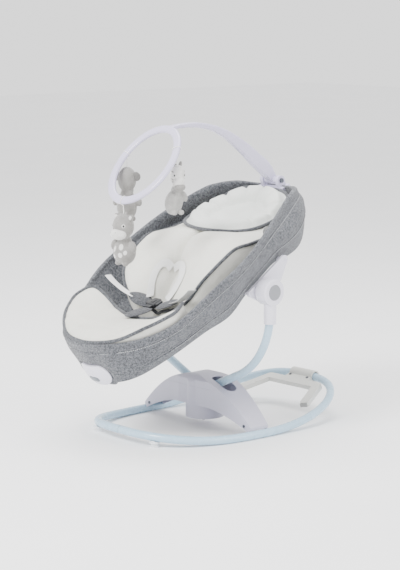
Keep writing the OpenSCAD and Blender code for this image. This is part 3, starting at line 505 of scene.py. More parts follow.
for word, first in (("right", -90), ("left", 90)):
    path = [ring_point(math.radians(first + 2 * i)) for i in range(91)]
    tube = swept(f"ring_tube_{word}", resample(path, 0.008), circle(TUBE_R, 32), "tube", "base")
    dressed(tube, f"base_tube_{word}")


def arc(cx, cz, r, a0, a1, n):
    for i in range(n + 1):
        a = math.radians(a0 + (a1 - a0) * i / n)
        yield (cx + r * math.sin(a), cz - r * math.cos(a))


# the arm leaves the hub level, climbs at 24 degrees and bends upright into the sockets
climb = math.radians(24)
upright_z = 113 + 100 * (1 - math.cos(climb))
upright_z += (258 - 200 * (1 - math.sin(climb)) - 18 - 100 * math.sin(climb)) * math.tan(climb)
upright_z += 200 * math.cos(climb)
arm = [(0, 113), *arc(18, 213, 100, 0, 24, 10), *arc(58, upright_z, 200, 24, 90, 30)]
arm.append((258, upright_z + 12))
path = [(-x / 1000, HUB_Y, z / 1000) for x, z in arm[:0:-1]]
path += [(x / 1000, HUB_Y, z / 1000) for x, z in arm]
tube = resample(path, 0.006)
tube = swept("sway_arm_tube", tube, circle(TUBE_R, 32), "tube", "swing", up=(0, 1, 0))
dressed(tube, "swing_arm_tube")

HOOP_COS, HOOP_SIN = math.cos(math.radians(50)), math.sin(math.radians(50))
HOOP_UP = np.array([0, -HOOP_SIN, HOOP_COS])


def toy_ring_at(deg):
    """A point of the toy ring's centre line, an oval that tilts 50 degrees up towards the head."""
    u = 100 * math.cos(math.radians(deg))
    v = 115 * math.sin(math.radians(deg))
    return np.array([u, 1000 * HUB_Y - 208 + v * HOOP_COS, 720 + v * HOOP_SIN]) / 1000


path = np.array([toy_ring_at(3 * i) for i in range(120)])
band = circle(1.0, 24, 1.0, 0.72) * (0.011, 0.006)
hoop = swept("toy_hoop", path, band, "bar", "toy_bar", up=HOOP_UP, closed=True)
dressed(hoop, "toy_ring")

# the return spring behind each recline button, which the button presses flat
for side, word in SIDES:
    a = np.linspace(0, 10 * math.pi, 150)
    along = 0.2532 + 0.0156 * smooth(0.06, 0.94, a / a[-1])
    path = np.stack([side * along, HUB_Y + 0.007 * np.cos(a), 0.394 + 0.007 * np.sin(a)], 1)
    coil = swept(f"release_coil_{word}", path, circle(0.0009, 8), "steel", "swing", up=(1, 0, 0))
    dressed(coil, f"release_spring_{word}")
    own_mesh(coil)

# ---- seat shapes

# heights along the seat: the rim, the hem and the sling's middle
RIM = [
    (-440, 46), (-350, 40), (-280, 46), (-200, 70), (-140, 86), (-79, 96), (0, 111), (100, 131),
    (190, 144), (240, 147), (300, 134), (336, 116),
]
HEM = [
    (-440, -68), (-390, -64), (-323, -46), (-260, -32), (-195, -21), (-110, -18), (-36, 8),
    (40, 27), (92, 34), (150, 22), (210, 20), (270, 38), (320, 62), (336, 70),
]
SLING = [
    (-420, -76), (-370, -78), (-250, -64), (-180, -54), (-100, -6), (-20, 28), (80, 34),
    (220, 36), (336, 62),
]
MID, WALL = -62, 12
POD_S, POD_N = -415, -41
POD_COS, POD_SIN = math.cos(math.radians(102)), math.sin(math.radians(102))


def half(s, l):
    """The outline's power and half length: the foot half is rounder and shorter than the head half."""
    foot = np.asarray(s) < MID - 1e-6
    return np.where(foot, 2.2, 2.8), np.where(foot, l * 0.944, l)


def plan(a, w, l):
    c, s = np.cos(a), np.sin(a)
    n, l = half(MID + s, l)
    r = 1 / ((abs(c) / w) ** n + (abs(s) / l) ** n) ** (1 / n)
    return r * c, MID + r * s


def lean(s, t):
    """Towards the head the upper wall leans in."""
    return 1 - 0.17 * smooth(-60, 240, s) * smooth(0, 1, 1 - np.asarray(t, float) / 0.5)


def tub_size(t, inset):
    """Half width and half length at depth t: the wall draws in towards the hem."""
    k = np.clip(t, 0, 1) ** 1.3
    return 250 - 250 * 0.17 * k - inset, 398 - 398 * 0.04 * k - inset


def tub_norm(x, s, t, inset):
    w, l = tub_size(t, inset)
    n, l = half(s, l)
    return ((abs(x) / w) ** n + (abs(s - MID) / l) ** n) ** (1 / n)


def sling_n(x, s, inset=0.0):
    q = np.minimum(1, tub_norm(x, s, 1, inset))
    hem, low = curve(s, HEM), curve(s, SLING)
    return hem + (low - hem) * (1 - q**4)


def wall_t(s, n):
    """How far down the wall a height n is: 0 at the rim, 1 at the hem."""
    rim, hem = curve(s, RIM), curve(s, HEM)
    return np.clip((rim - n) / (rim - hem), 0, 1)


def inside(p, clearance=1.5):
    """Moves points inward until they clear the tub's lining at their own height."""
    p = np.array(p, float)
    t = wall_t(p[..., 1], p[..., 2])
    k = np.maximum(1, tub_norm(p[..., 0] / lean(p[..., 1], t), p[..., 1], t, WALL + clearance))
    above = smooth(0, 14, p[..., 2] - curve(p[..., 1], RIM))
    k = 1 + (k - 1) * (1 - above)
    k = np.maximum(k, tub_norm(p[..., 0] / lean(p[..., 1], 0), p[..., 1], 0, 10))
    p[..., 0] /= k
    p[..., 1] = MID + (p[..., 1] - MID) / k
    return p


# ---- seat tub

A = np.linspace(0, 2 * math.pi, 320, endpoint=False)


def floor_line(q, inset, lift):
    w, l = tub_size(1, inset)
    x, s = plan(A, w * q, l * q)
    return np.stack([x, s, sling_n(x, s, inset) + lift], 1)


def wall_line(t, inset, lift, swell=0.0):
    w, l = tub_size(t, inset - swell)
    x, s = plan(A, w, l)
    rim, hem = curve(s, RIM), curve(s, HEM) + lift
    return np.stack([x * lean(s, t), s, rim + (hem - rim) * t], 1)


def cloth_creases(p, t):
    """Gathers at the foot, pleats at the head and soft dents along the sides, in millimetres outward."""
    x, s = p[:, 0], p[:, 1]
    a = np.arctan2(s - MID, x)
    foot, head = smooth(-310, -415, s), smooth(210, 320, s)
    low = math.sin(math.pi * min(1, max(0, t)))
    d = 1.6 * wobble(p / (90, 60, 50), 3.1) * low
    d += foot * low * 2.6 * np.sin(a * 23 + 2.2 * t + 1.5 * ripple(x, s, 9.0, 60, 60))
    d += head * low * 2.0 * np.sin(a * 41 + 1.1 * t)
    for s0, depth, wide in ((-300, 3.6, 16), (-338, 3.0, 12), (-262, 2.2, 10)):
        line = s - s0 - 46 * (t - 0.45)
        d -= depth * bell(line, wide) * low * smooth(0, 120, abs(x)) * smooth(0.25, 0.6, t)
    seam = t - (0.70 - 0.12 * smooth(-100, 200, s))
    d -= 2.4 * bell(seam, 0.018) * smooth(-420, -300, s)
    d += 1.2 * bell(abs(seam) - 0.05, 0.03) * smooth(-420, -300, s)
    d -= 2.0 * bell(t - 0.13, 0.016)
    return d


def push(p, d):
    """Moves wall points outward in plan by d."""
    p = p.copy()
    out = np.stack([np.cos(A), np.sin(A)], 1)
    p[:, :2] += out * d[:, None]
    return p


def pod_point(x, y, z):
    """A point of the pod's frame, where +Z leaves its face, in the seat's frame."""
    y, z = np.asarray(y, float), np.asarray(z, float)
    return np.stack([x + 0 * y, POD_S + y * POD_COS - z * POD_SIN, POD_N + y * POD_SIN + z * POD_COS], -1)


def clear_of_pod(p, back):
    """Presses the cloth in behind the control pod's face, with a soft slope round its oval."""
    y0, z0 = p[:, 1] - POD_S, p[:, 2] - POD_N
    y, z = y0 * POD_COS + z0 * POD_SIN, -y0 * POD_SIN + z0 * POD_COS
    far = np.hypot(np.maximum(0, abs(p[:, 0]) - 24), y) / 33
    z = np.where(z > -55, np.minimum(z, back + 90 * np.maximum(0, far - 1)), z)
    return pod_point(p[:, 0], y, z)


# from the middle of the sling out to the hem, up the wall, over the rim and down the lining
sling_shares = (0.03, 0.12, 0.22, 0.32, 0.42, 0.52, 0.61, 0.69, 0.76, 0.82, 0.87, 0.91, 0.945, 0.97, 0.988)
lines = [floor_line(q, 0, 0) for q in sling_shares]
for line in lines:
    line[:, 2] += 1.8 * ripple(line[:, 0], line[:, 1], 5.0, 70, 45)
ts = [[1.0], np.linspace(0.985, 0.9, 5), np.linspace(0.88, 0.14, 48), [0.125, 0.11, 0.09, 0.06, 0.03, 0.0]]
ts = np.concatenate(ts)
for t in ts:
    line = wall_line(t, 0, 0, 2.0 * math.sin(math.pi * t) ** 0.7 if 0 < t < 1 else 0)
    lines.append(push(line, cloth_creases(line, t)))
for k in range(1, 12):
    a = math.pi * k / 12
    line = wall_line(0, WALL / 2 - 7.3 * math.cos(a), 0)
    line[:, 2] += 9.0 * math.sin(a) + 0.5 * wobble(line / 25, 2.0)
    lines.append(line)
for t in np.linspace(0.02, 0.98, 26):
    line = wall_line(t, WALL, 10)
    dent = 1.4 * wobble(line / 55, 7.7) - 1.6 * bell(t - 0.11, 0.02)
    lines.append(push(line, -dent))
lines += [floor_line(q, WALL, 10) for q in (0.99, 0.96, 0.9, 0.8, 0.65, 0.5, 0.35, 0.2, 0.05)]
near_foot = len(ts) + len(sling_shares)
lines = [clear_of_pod(line, -4 if i < near_foot else -15) for i, line in enumerate(lines)]
tub = loft("seat_tub_cloth", seat(np.array(lines)), "melange", "seat")
dressed(tub, "seat_tub")


def wall_place(s, t, side, out=0.0):
    """A point on the outer wall at station s and depth t, on the +X side or the -X side."""
    w, l = tub_size(np.asarray(t, float), -2.0 * np.sin(math.pi * np.clip(t, 0.001, 0.999)) ** 0.7 - out)
    n, l = half(s, l)
    x = side * w * lean(s, t) * np.maximum(0, 1 - (abs(np.asarray(s, float) - MID) / l) ** n) ** (1 / n)
    rim, hem = curve(s, RIM), curve(s, HEM)
    return np.stack([x, np.asarray(s, float), rim + (hem - rim) * t], -1)


def stitches(name, path, up):
    """A run of sewn stitches: small rounded dashes along a path, as one piece."""
    long, gap, r, per = 0.0034, 0.0018, 0.00045, 4
    path = resample(path, (long + gap) / per)
    verts, faces = [], []
    t, side, lift = frames_along(path, up)
    for i in range(1, len(path) - 2, per):
        base = len(verts)
        for along, size in ((-0.5, 0.35), (-0.32, 1.0), (0.32, 1.0), (0.5, 0.35)):
            for c in circle(1.0, 6):
                verts.append(path[i] + t[i] * along * long + size * r * (c[0] * side[i] + c[1] * lift[i]))
        faces += ring_faces(4, 6, base)
        faces += [[base + k for k in range(5, -1, -1)], [base + 18 + k for k in range(6)]]
    dressed(mesh_piece(name, verts, faces, "thread", "seat"))


for side, word in SIDES:
    s = np.linspace(-300, 290, 160)
    t = 0.70 - 0.12 * smooth(-100, 200, s) + 0.028
    stitches(f"hem_stitching_{word}", seat(wall_place(s, t, side, 1.2)), (side, 0, 0))
    s = np.linspace(-430, 300, 200)
    stitches(f"rim_stitching_{word}", seat(wall_place(s, np.full_like(s, 0.155), side, 0.4)), (side, 0, 0))

# ---- pads

# heights of the pads along their middle and along their sides
FOOT_MID = [(-440, 52), (-400, 57), (-350, 56), (-300, 42), (-250, 24), (-190, 10)]
FOOT_SIDE = [(-460, 56), (-400, 66), (-328, 74), (-270, 78), (-200, 84), (-165, 82)]
BACK_MID = [
    (-178, 14), (-142, 34), (-129, 46), (-91, 70), (-73, 86), (-46, 112), (-23, 128), (0, 134),
    (30, 130), (80, 114), (130, 102), (200, 92), (300, 94),
]
BACK_SIDE = [
    (-178, 76), (-127, 96), (-93, 106), (-38, 122), (0, 126), (44, 114), (98, 102), (200, 96),
    (300, 98),
]


def pad_top(x, s, mid, side, wide):
    a, b = curve(s, mid), curve(s, side)
    return a + (b - a) * np.minimum(1, abs(x) / wide) ** 2.2


def back_n(x, s):
    return pad_top(x, s, BACK_MID, BACK_SIDE, 170)


def pad_grid(nu, nv):
    u, v = np.meshgrid(np.linspace(-1, 1, nu), np.linspace(-1, 1, nv))
    return u, v


def squared(u, v, n):
    """Maps the square to a rounded outline of power n."""
    m = np.maximum(abs(u), abs(v))
    safe = np.maximum(m, 1e-9)
    p = ((abs(u) / safe) ** n + (abs(v) / safe) ** n) ** (1 / n)
    f = 1 + (1 / p - 1) * m**1.5
    return u * f, v * f, m


def underside(top, narrow, short, thin):
    """A pad's underside: on the lining below it, or nearer where the pad would get too thin."""
    x, s = top[..., 0] * narrow, top[..., 1] * short
    n = np.minimum(sling_n(x, s, WALL) + 13, top[..., 2] - thin)
    return inside(np.stack([x, s, n], -1), 1.0)


def piping(name, path, radius):
    """A corded edge sewn along a pad's own edge."""
    away = path - path.mean(0)
    away -= np.outer(away @ SEAT_Z, SEAT_Z)
    away /= np.linalg.norm(away, axis=1)[:, None]
    path = rounded(path + away * 0.8 / 1000 + 0.0015 * SEAT_Z, 4, True)
    path = rounded(resample(path, 0.004, True), 2, True)
    cord = swept(name, path, circle(radius, 12), "piping", "seat", up=SEAT_Z, closed=True)
    dressed(cord)


def pad_piece(word, node, top, bottom, steps, bulge, look, seams, cap, cord):
    """A piped cushion from a top and a bottom grid of seat-frame points.

    Its sides are a gusset that bulges. seams is how firmly each point of the top is sewn down.
    """
    nv, nu = top.shape[:2]
    top_id = np.arange(nu * nv).reshape(nv, nu)
    edge = [(0, k) for k in range(nu)] + [(i, nu - 1) for i in range(1, nv)]
    edge += [(nv - 1, k) for k in range(nu - 2, -1, -1)] + [(i, 0) for i in range(nv - 2, 0, -1)]
    rows = np.array([e[0] for e in edge])
    cols = np.array([e[1] for e in edge])
    a, b = top[rows, cols], bottom[rows, cols]
    out = a - top.reshape(-1, 3).mean(0)
    out[:, 2] = 0
    out /= np.linalg.norm(out, axis=1)[:, None]
    verts = [top.reshape(-1, 3), bottom.reshape(-1, 3)]
    loops = [top_id[rows, cols]]
    start = 2 * nu * nv
    for k in range(1, steps):
        f = k / steps
        verts.append(inside(a + (b - a) * f + out * bulge * math.sin(math.pi * f), 1.0))
        loops.append(start + np.arange(len(edge)))
        start += len(edge)
    loops.append(nu * nv + top_id[rows, cols])
    verts = np.concatenate(verts)
    faces, uvs = [], []
    for base, flip in ((0, False), (nu * nv, True)):
        for i in range(nv - 1):
            for k in range(nu - 1):
                at = base + i * nu + k
                q = [at, at + 1, at + nu + 1, at + nu]
                faces.append(q[::-1] if flip else q)
                uvs += [verts[v][:2] / 1000 for v in faces[-1]]
    length = np.concatenate([[0], np.cumsum(np.linalg.norm(np.roll(a, -1, 0) - a, axis=1))])
    for f, (la, lb) in enumerate(zip(loops, loops[1:])):
        near, far = 0.008 * f, 0.008 * f + 0.008
        for k in range(len(edge)):
            m = (k + 1) % len(edge)
            faces.append([la[k], lb[k], lb[m], la[m]])
            here, there = length[k] / 1000, length[k + 1] / 1000
            uvs += [(here, near), (here, far), (there, far), (there, near)]
    o = mesh_piece(f"{word}_cushion", seat(verts), faces, look, "seat", uvs)
    pins = np.zeros(len(verts))
    pins[nu * nv : 2 * nu * nv] = 1.0
    pins[loops[0]] = 1.0
    pins[: nu * nv] = np.maximum(pins[: nu * nv], seams.reshape(-1))
    cushion(o, pins, cap)
    dressed(o, node)
    piping(f"{word}_piping", coords(o.data)[loops[0]], cord)
    return o


# foot pad: long at the sides, hollowed at the middle of its inner edge
u, v = pad_grid(72, 52)
x, s, m = squared(u, v, 3.0)
head = np.clip((v + 1) / 2, 0, 1) ** 2
x, s = x * 204, -306 + s * 136
s = s - 84 * head * (1 - np.minimum(1, abs(x) / 190) ** 1.7)
n = pad_top(x, s, FOOT_MID, FOOT_SIDE, 190)
crease = bell(abs(x) - 92 - 0.16 * (s + 300), 11)
crease = crease * smooth(-430, -360, s) * smooth(-190, -240, s)
cross = bell(s + 352 + 0.1 * abs(x), 9) * smooth(105, 70, abs(x))
n = n - 3.5 * crease - 3.0 * cross + 4 * (1 - m**4)
n = n + 1.6 * ripple(x, s, 4.4, 46, 30)
n = n + 3 * smooth(0.8, 1.0, m) * smooth(-300, -400, s)
top = inside(np.stack([x, s, n], -1), 1.0)
seams = 0.65 * crease + 0.5 * cross
pad_piece(
    "foot", "foot_pad", top, underside(top, 0.985, 0.985, 10), 7, 5, "liner", seams, 0.006, 0.0046
)

# back pad: two halves with a sewn valley between them, rolling over a crest below the pillow
BACK_COLS, BACK_ROWS = 74, 96
u, v = pad_grid(BACK_COLS, BACK_ROWS)
x, s, m = squared(u, v, 4.0)
x, s = x * 180, 60 + s * 238
n = back_n(x, s)
valley = bell(x, 5.0)
n = n - 15 * bell(x, 11.0) * smooth(300, 120, s) + 7 * (1 - m**3) * (1 - valley)
tuck = bell(s + 60 - 0.12 * abs(x), 10)
tuck = tuck * smooth(20, 60, abs(x)) * smooth(165, 110, abs(x))
n = n - 1.5 * tuck + 2.2 * ripple(x, s, 8.1, 52, 36)
n = n - 6 * np.maximum(0, m - 0.92) / 0.08
top = inside(np.stack([x, s, n], -1), 1.0)
seams = np.maximum(0.9 * valley * smooth(300, 200, s), 0.3 * tuck)
back = pad_piece(
    "back", "back_pad", top, underside(top, 0.98, 1, 9), 7, 6, "liner", seams, 0.007, 0.0044
)
grid = coords(back.data)[: BACK_ROWS * BACK_COLS].reshape(BACK_ROWS, BACK_COLS, 3)
path = rounded(grid[22:66, 36:38].mean(1) + 0.0002 * SEAT_Z, 2)
seam = swept("back_seam", path, circle(0.0009, 10), "string", "seat", up=(1, 0, 0))
dressed(seam)

# pillow: an oval with a raised bolster, a flat middle and channels across the bolster
u, v = pad_grid(64, 64)
x, s, m = squared(u, v, 2.35)
rho = np.sqrt(x**2 + s**2)
x, s = 3 + x * 139, 174 + s * 134
under = np.maximum(back_n(x, s), sling_n(x, s, WALL) + 24)
ang = np.arctan2(s - 178, x)
ring = smooth(0.5, 0.62, rho) * smooth(1.02, 0.9, rho)
channels = 0
for deg in (205, 178, 150, 120, 90, 60, 30, 2, -25):
    channels = channels + bell(np.angle(np.exp(1j * (ang - math.radians(deg)))), 0.05)
channels = np.minimum(1, channels) * ring
contour = bell(rho - 0.56, 0.035) * smooth(-0.98, -0.6, np.sin(ang))
raised, left = smooth(0.3, 1.0, (s - 178) / 130), smooth(0, 1, -x / 133)
n = under + 14 + 19 * smooth(0.42, 0.72, rho) * smooth(1.0, 0.86, rho) - 8 * channels - 7 * contour
n = n + 0.8 * ripple(x, s, 1.7, 40, 40) + 16 * raised + 12 * left
n = n - 4 * np.maximum(0, m - 0.9) / 0.1
top = np.stack([x, s, n], -1)
under = under + 12 * raised + 9 * left
bottom = np.stack([x * 0.985, 178 + (s - 178) * 0.985, under + 3], -1)
seams = np.maximum(0.75 * channels, 0.85 * contour)
pad_piece("pillow", "head_pillow", top, bottom, 4, 2, "pillow", seams, 0.0055, 0.0048)


# ---- harness

SEAT_AXES = np.stack([np.array([1.0, 0, 0]), SEAT_Y, SEAT_Z])


def turned(x_deg, y_deg, z_deg):
    """A rotation about X, then Y, then Z."""
    m = Matrix.Rotation(math.radians(z_deg), 3, "Z") @ Matrix.Rotation(math.radians(y_deg), 3, "Y")
    return np.array(m @ Matrix.Rotation(math.radians(x_deg), 3, "X"))


def lens(name, node, centre, size, turn, point=0.75):
    """A padded strap cover: pointed at both ends, crowned, with a corded binding round its edge."""
    long, wide, thick = size
    u = np.sin(np.linspace(-math.pi / 2, math.pi / 2, 34)) * 0.995
    widths = wide / 2 * (1 - u**2) ** point
    rises = thick / 2 * (0.30 + 0.70 * (1 - u**2) ** 0.5)
    a = np.arange(28) * 2 * math.pi / 28
    rings = []
    for at, w, h in zip(u, widths, rises):
        y = w * np.sign(np.cos(a)) * abs(np.cos(a)) ** 0.8
        z = h * np.sign(np.sin(a)) * abs(np.sin(a)) ** 0.8 * (1 - 0.25 * (y / max(w, 1e-6)) ** 2)
        z = z + 0.35 * wobble(np.stack([0 * a + at * 3, y / 9, z / 9], 1), 6.0)
        rings.append(np.stack([0 * a + at * long / 2, y, z], 1))
    turn = turned(*turn)

    def place(points):
        return seat(np.asarray(points) @ turn.T + np.array(centre))

    pad = loft(name, place(np.array(rings)), "cover", "seat")
    edge = [(at * long / 2, w + 0.4, 0) for at, w in zip(u, widths)]
    edge += [(at * long / 2, -w - 0.4, 0) for at, w in zip(u[::-1], widths[::-1])]
    edge = place(rounded(resample(np.array(edge), 3.0, True), 2, True))
    cord = circle(0.0018, 10)
    cord = swept(f"{name}_binding", edge, cord, "piping", "seat", up=SEAT_Z, closed=True)
    dressed(pad, node)
    dressed(cord)


def strap(name, path, normals, node=None, width=24, thick=1.6):
    """Flat webbing along seat-frame points, facing along normals."""
    band = circle(width / 2000, 24, thick / width, 0.35)
    dressed(swept(name, seat(path), band, "webbing", "seat", up=normals), node)


for side, word in SIDES:
    centre, turn = (side * 54, -178, 34), (0, -side * 14, side * 4)
    lens(f"waist_cover_pad_{word}", f"waist_cover_{word}", centre, (94, 42, 10), turn)
    path = [(78, -178, 40), (94, -178, 44), (120, -178, 54), (148, -177, 71), (164, -175, 82)]
    path.append((174, -173, 90))
    path = rounded(resample(np.array(path) * (side, 1, 1), 4.0), 3)
    strap(f"waist_webbing_{word}", path, 0.9 * SEAT_Z + 0.43 * SEAT_Y, f"waist_strap_{word}")
    path = [(4, -86), (24, -79), (42, -84), (52, -98), (54, -116), (49, -134), (41, -150), (34, -163)]
    lift = [3, 8, 11, 10, 7, 6, 6, 8]
    path = np.array([(side * x, s, back_n(x, s) + 7 + up) for (x, s), up in zip(path, lift)])
    path = rounded(resample(path, 4.0), 4)
    x, s = path[:, 0], path[:, 1]
    slope_x = (back_n(x + 4, s) - back_n(x - 4, s)) / 8
    slope_s = (back_n(x, s + 4) - back_n(x, s - 4)) / 8
    normals = np.stack([-slope_x, -slope_s, 0 * x + 1], 1)
    normals = normals / np.linalg.norm(normals, axis=1)[:, None] @ SEAT_AXES
    strap(f"shoulder_webbing_{word}", path, normals, f"shoulder_strap_{word}")

lens("crotch_cover_pad", "crotch_cover", (0, -236, 35), (80, 46, 10), (0, 13, 90), 0.45)


def slab(name, centre, size, node=None):
    """A moulded block with rounded corners and softened top and bottom edges."""
    long, wide, thick = size
    rings = []
    for z, k in (
        (-0.5, 0.86), (-0.46, 0.94), (-0.34, 1.0), (0.2, 1.0), (0.4, 0.95), (0.48, 0.86), (0.5, 0.78),
    ):
        outline = circle(1.0, 32, 1.0, 0.35) * (k * long / 2, k * wide / 2)
        rings.append(np.column_stack([outline, np.full(32, z * thick)]))
    block = loft(name, seat(np.array(rings) + np.array(centre)), "dark", "seat")
    dressed(block, node)


slab("buckle_shell", (0, -178, 30), (30, 34, 13), "harness_buckle")
slab("buckle_press", (0, -178, 36.5), (13, 15, 3.4))
slab("buckle_tongue_right", (18, -178, 32), (12, 22, 5))
slab("buckle_tongue_left", (-18, -178, 32), (12, 22, 5))
slab("buckle_tongue_front", (0, -199, 32), (20, 12, 5))

# small white loops sewn into the side seams of the back pad
for word, centre, turn in (
    ("left", (-178, -66, 112), (24, 0, 10)), ("right", (172, 118, 106), (16, 0, -12)),
):
    a = np.linspace(-0.5, math.pi + 0.5, 20)
    path = np.stack([0 * a, 8 * np.cos(a), 9 * np.sin(a)], 1) @ turned(*turn).T + np.array(centre)
    strap(f"seam_loop_{word}", path, np.array([1.0, 0, 0]), width=11, thick=0.9)

# ---- control pod trim


def pod_ring(name, out, z, r, look, squash=1.0):
    """A cord round the pod's oval edge."""
    a = np.linspace(0, 2 * math.pi, 160, endpoint=False)
    x = 24 * np.sign(np.cos(a)) * np.minimum(1, abs(np.cos(a)) * 3) + (32 + out) * np.cos(a)
    y = (32 + out) * np.sin(a)
    path = rounded(seat(pod_point(x, y, z + 0 * a)), 4, True)
    up = seat(pod_point(0, 0, 1)) - seat(pod_point(0, 0, 0))
    up /= np.linalg.norm(up)
    dressed(swept(name, path, circle(r, 14, squash), look, "seat", up=up, closed=True))


pod_ring("pod_gasket", 1.2, 1.0, 0.0026, "gasket")
pod_ring("pod_collar", 7.0, -2.0, 0.0046, "melange", 0.8)
pod_ring("pod_collar_piping", 11.6, -3.0, 0.0016, "piping")

# ---- hanging toys

# where each toy hangs on the hoop, in degrees, with the drop to its top; and how far the toy is raised
HANG = {"a": (165, 26), "b": (272, 24), "c": (30, 24)}
TOY_LIFT = {"a": 4, "b": 4, "c": 0}


def hang_point(key):
    return toy_ring_at(HANG[key][0]) - np.array([0, 0, 0.0132])


def toy_frame(key, facing):
    """The toy's body, and its frame in millimetres.

    +X is at the viewer's right, -Y the way it faces, and the origin its top.
    """
    f = np.array([facing[0], facing[1], 0.0])
    f /= np.linalg.norm(f)
    right = np.array([-f[1], f[0], 0.0])
    m = Matrix.Identity(4)
    m.col[0][:3], m.col[1][:3] = right, -f
    m.col[3][:3] = hang_point(key) - np.array([0, 0, (HANG[key][1] - TOY_LIFT[key]) / 1000])
    return f"toy_{key}", m @ Matrix.Diagonal((0.001, 0.001, 0.001, 1))


def soft_toy(name, look, toy, blobs, voxel=0.0016, passes=8, node=None):
    """Stuffed plush: overlapping ellipsoids (centre, radii, turn) grown into one skin."""
    body, place = toy
    bm = bmesh.new()
    for centre, radii, turn in blobs:
        local = Matrix.Translation(Vector(centre)) @ Matrix(turned(*turn)).to_4x4()
        local = local @ Matrix.Diagonal((*radii, 1))
        bmesh.ops.create_icosphere(bm, subdivisions=4, radius=1.0, matrix=place @ local)
    me = bpy.data.meshes.new(name)
    bm.to_mesh(me)
    bm.free()
    o = linked(name, me)
    skin = o.modifiers.new("skin", "REMESH")
    skin.mode, skin.voxel_size = "VOXEL", voxel
    soft = o.modifiers.new("soft", "SMOOTH")
    soft.factor, soft.iterations = 0.6, passes
    apply_all(o)
    o.data.materials.clear()
    o.data.materials.append(MAT[look])
    o.data.polygons.foreach_set("use_smooth", [True] * len(o.data.polygons))
    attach(o, body)
    return dressed(o, node)


def patch(name, look, toy, target, centre, toward, size, dome=1.2, tilt=0.0):
    """A thin padded patch sewn on a toy: an oval looked at along toward, laid on the surface."""
    body, place = toy
    skin = target.data
    tree = BVHTree.FromPolygons([v.co for v in skin.vertices], [p.vertices for p in skin.polygons])
    d = Vector(toward).normalized()
    flat = Vector((0, 0, 1)).cross(d).normalized()
    rise = d.cross(flat)
    across = flat * math.cos(tilt) + rise * math.sin(tilt)
    up = rise * math.cos(tilt) - flat * math.sin(tilt)
    rotate = place.to_3x3().normalized()

    def surface(x, y):
        start = place @ (Vector(centre) + across * x + up * y + d * 60)
        hit, normal, _, _ = tree.ray_cast(start, -(rotate @ d))
        if hit is None:
            hit, normal, _, _ = tree.find_nearest(start)
        return np.array(hit), np.array(normal)

    a = np.arange(30) * 2 * math.pi / 30
    top, under = [], []
    for q in (0.02, 0.3, 0.55, 0.75, 0.9, 1.0):
        ring = [surface(q * size[0] * math.cos(t), q * size[1] * math.sin(t)) for t in a]
        height = (0.25 + dome * math.sqrt(max(0, 1 - q * q))) / 1000
        top.append([h + height * n for h, n in ring])
        under.append([h - 0.0008 * n for h, n in ring])
    return dressed(loft(name, np.array(top + under[::-1]), look, body))


def toy_cord(key):
    """The string, and the loop and knot that hold it round the hoop."""
    top = hang_point(key)
    drop = (HANG[key][1] + 7) / 1000
    z = np.linspace(0, 1, 18)
    path = top + np.stack([0.0006 * np.sin(math.pi * z), 0 * z, -drop * z], 1)
    o = swept(f"toy_cord_{key}", path, circle(0.001, 12), "string", f"toy_{key}", up=(0, 1, 0))
    dressed(o, f"toy_string_{key}")
    deg = HANG[key][0]
    along = toy_ring_at(deg + 1) - toy_ring_at(deg - 1)
    along /= np.linalg.norm(along)
    flat = np.cross(along, HOOP_UP)
    b = circle(1.0, 40, 1.0, 0.7)
    path = toy_ring_at(deg) + 0.0119 * b[:, :1] * flat + 0.0069 * b[:, 1:] * HOOP_UP
    loop = circle(0.0009, 10)
    loop = swept(f"toy_loop_{key}", path, loop, "string", "toy_bar", up=along, closed=True)
    dressed(loop)
    knot = np.linspace(path[path[:, 2].argmin()], top, 8)
    knot = swept(f"toy_knot_{key}", knot, circle(0.0013, 10), "string", "toy_bar", up=(0, 1, 0))
    dressed(knot)


for key in HANG:
    toy_cord(key)

# giraffe: long head with a white muzzle, one arm out, spots on the belly
toy = toy_frame("b", (0.05, -1.0))
giraffe = soft_toy("giraffe_body", "plush_grey", toy, [
    ((0, 0, -34), (29, 27, 33), (0, 0, 0)), ((0, -6, -50), (26, 23, 19), (10, 0, 0)),
    ((1, 3, -76), (20, 19, 20), (0, 0, 0)), ((1, 3, -101), (33, 27, 34), (0, 0, 0)),
    ((-31, -2, -84), (11, 10, 16), (0, 28, 0)), ((31, 3, -86), (11, 10, 16), (0, -24, 0)),
    ((-12, -8, -129), (8, 9, 7), (0, 0, 0)), ((14, -6, -130), (8, 9, 7), (0, 0, 0)),
    ((-8, 3, -2), (4, 4, 7), (0, -12, 0)), ((8, 3, -2), (4, 4, 7), (0, 12, 0)),
], node="toy_giraffe")
soft_toy("giraffe_ears", "plush_grey", toy, [
    ((-24, 4, -11), (13, 4.5, 8), (0, 24, 12)), ((24, 4, -11), (13, 4.5, 8), (0, -24, -12)),
], 0.0012, 3)
soft_toy("giraffe_ear_lining", "plush_white", toy, [
    ((-25, 0.6, -11), (9, 2.4, 5), (0, 24, 12)), ((25, 0.6, -11), (9, 2.4, 5), (0, -24, -12)),
], 0.0009, 2)
muzzle = soft_toy("giraffe_muzzle", "plush_white", toy, [
    ((0, -17, -53), (26, 18, 15), (8, 0, 0)), ((0, -27, -50), (17, 11, 11), (0, 0, 0)),
], 0.0013, 8)
for side, word in SIDES:
    at, toward = (side * 17, -15, -31), (side * 0.75, -0.66, 0)
    white = patch(f"giraffe_eye_patch_{word}", "plush_white", toy, giraffe, at, toward, (4.6, 4.8), 0.5)
    patch(f"giraffe_eye_{word}", "eye", toy, white, at, toward, (2.5, 3.0), 1.7)
    at, toward = (side * 8, -30, -48), (side * 0.25, -1, 0.1)
    patch(f"giraffe_nostril_{word}", "gasket", toy, muzzle, at, toward, (1.2, 0.9), 0.2)
spots = (
    (9, -86, 6.5, 8, 0.3), (-7, -92, 5, 8, -0.2), (8, -107, 6.5, 6.5, 0),
    (-10, -112, 5.5, 6, 0.3), (20, -100, 5, 6, -0.3),
)
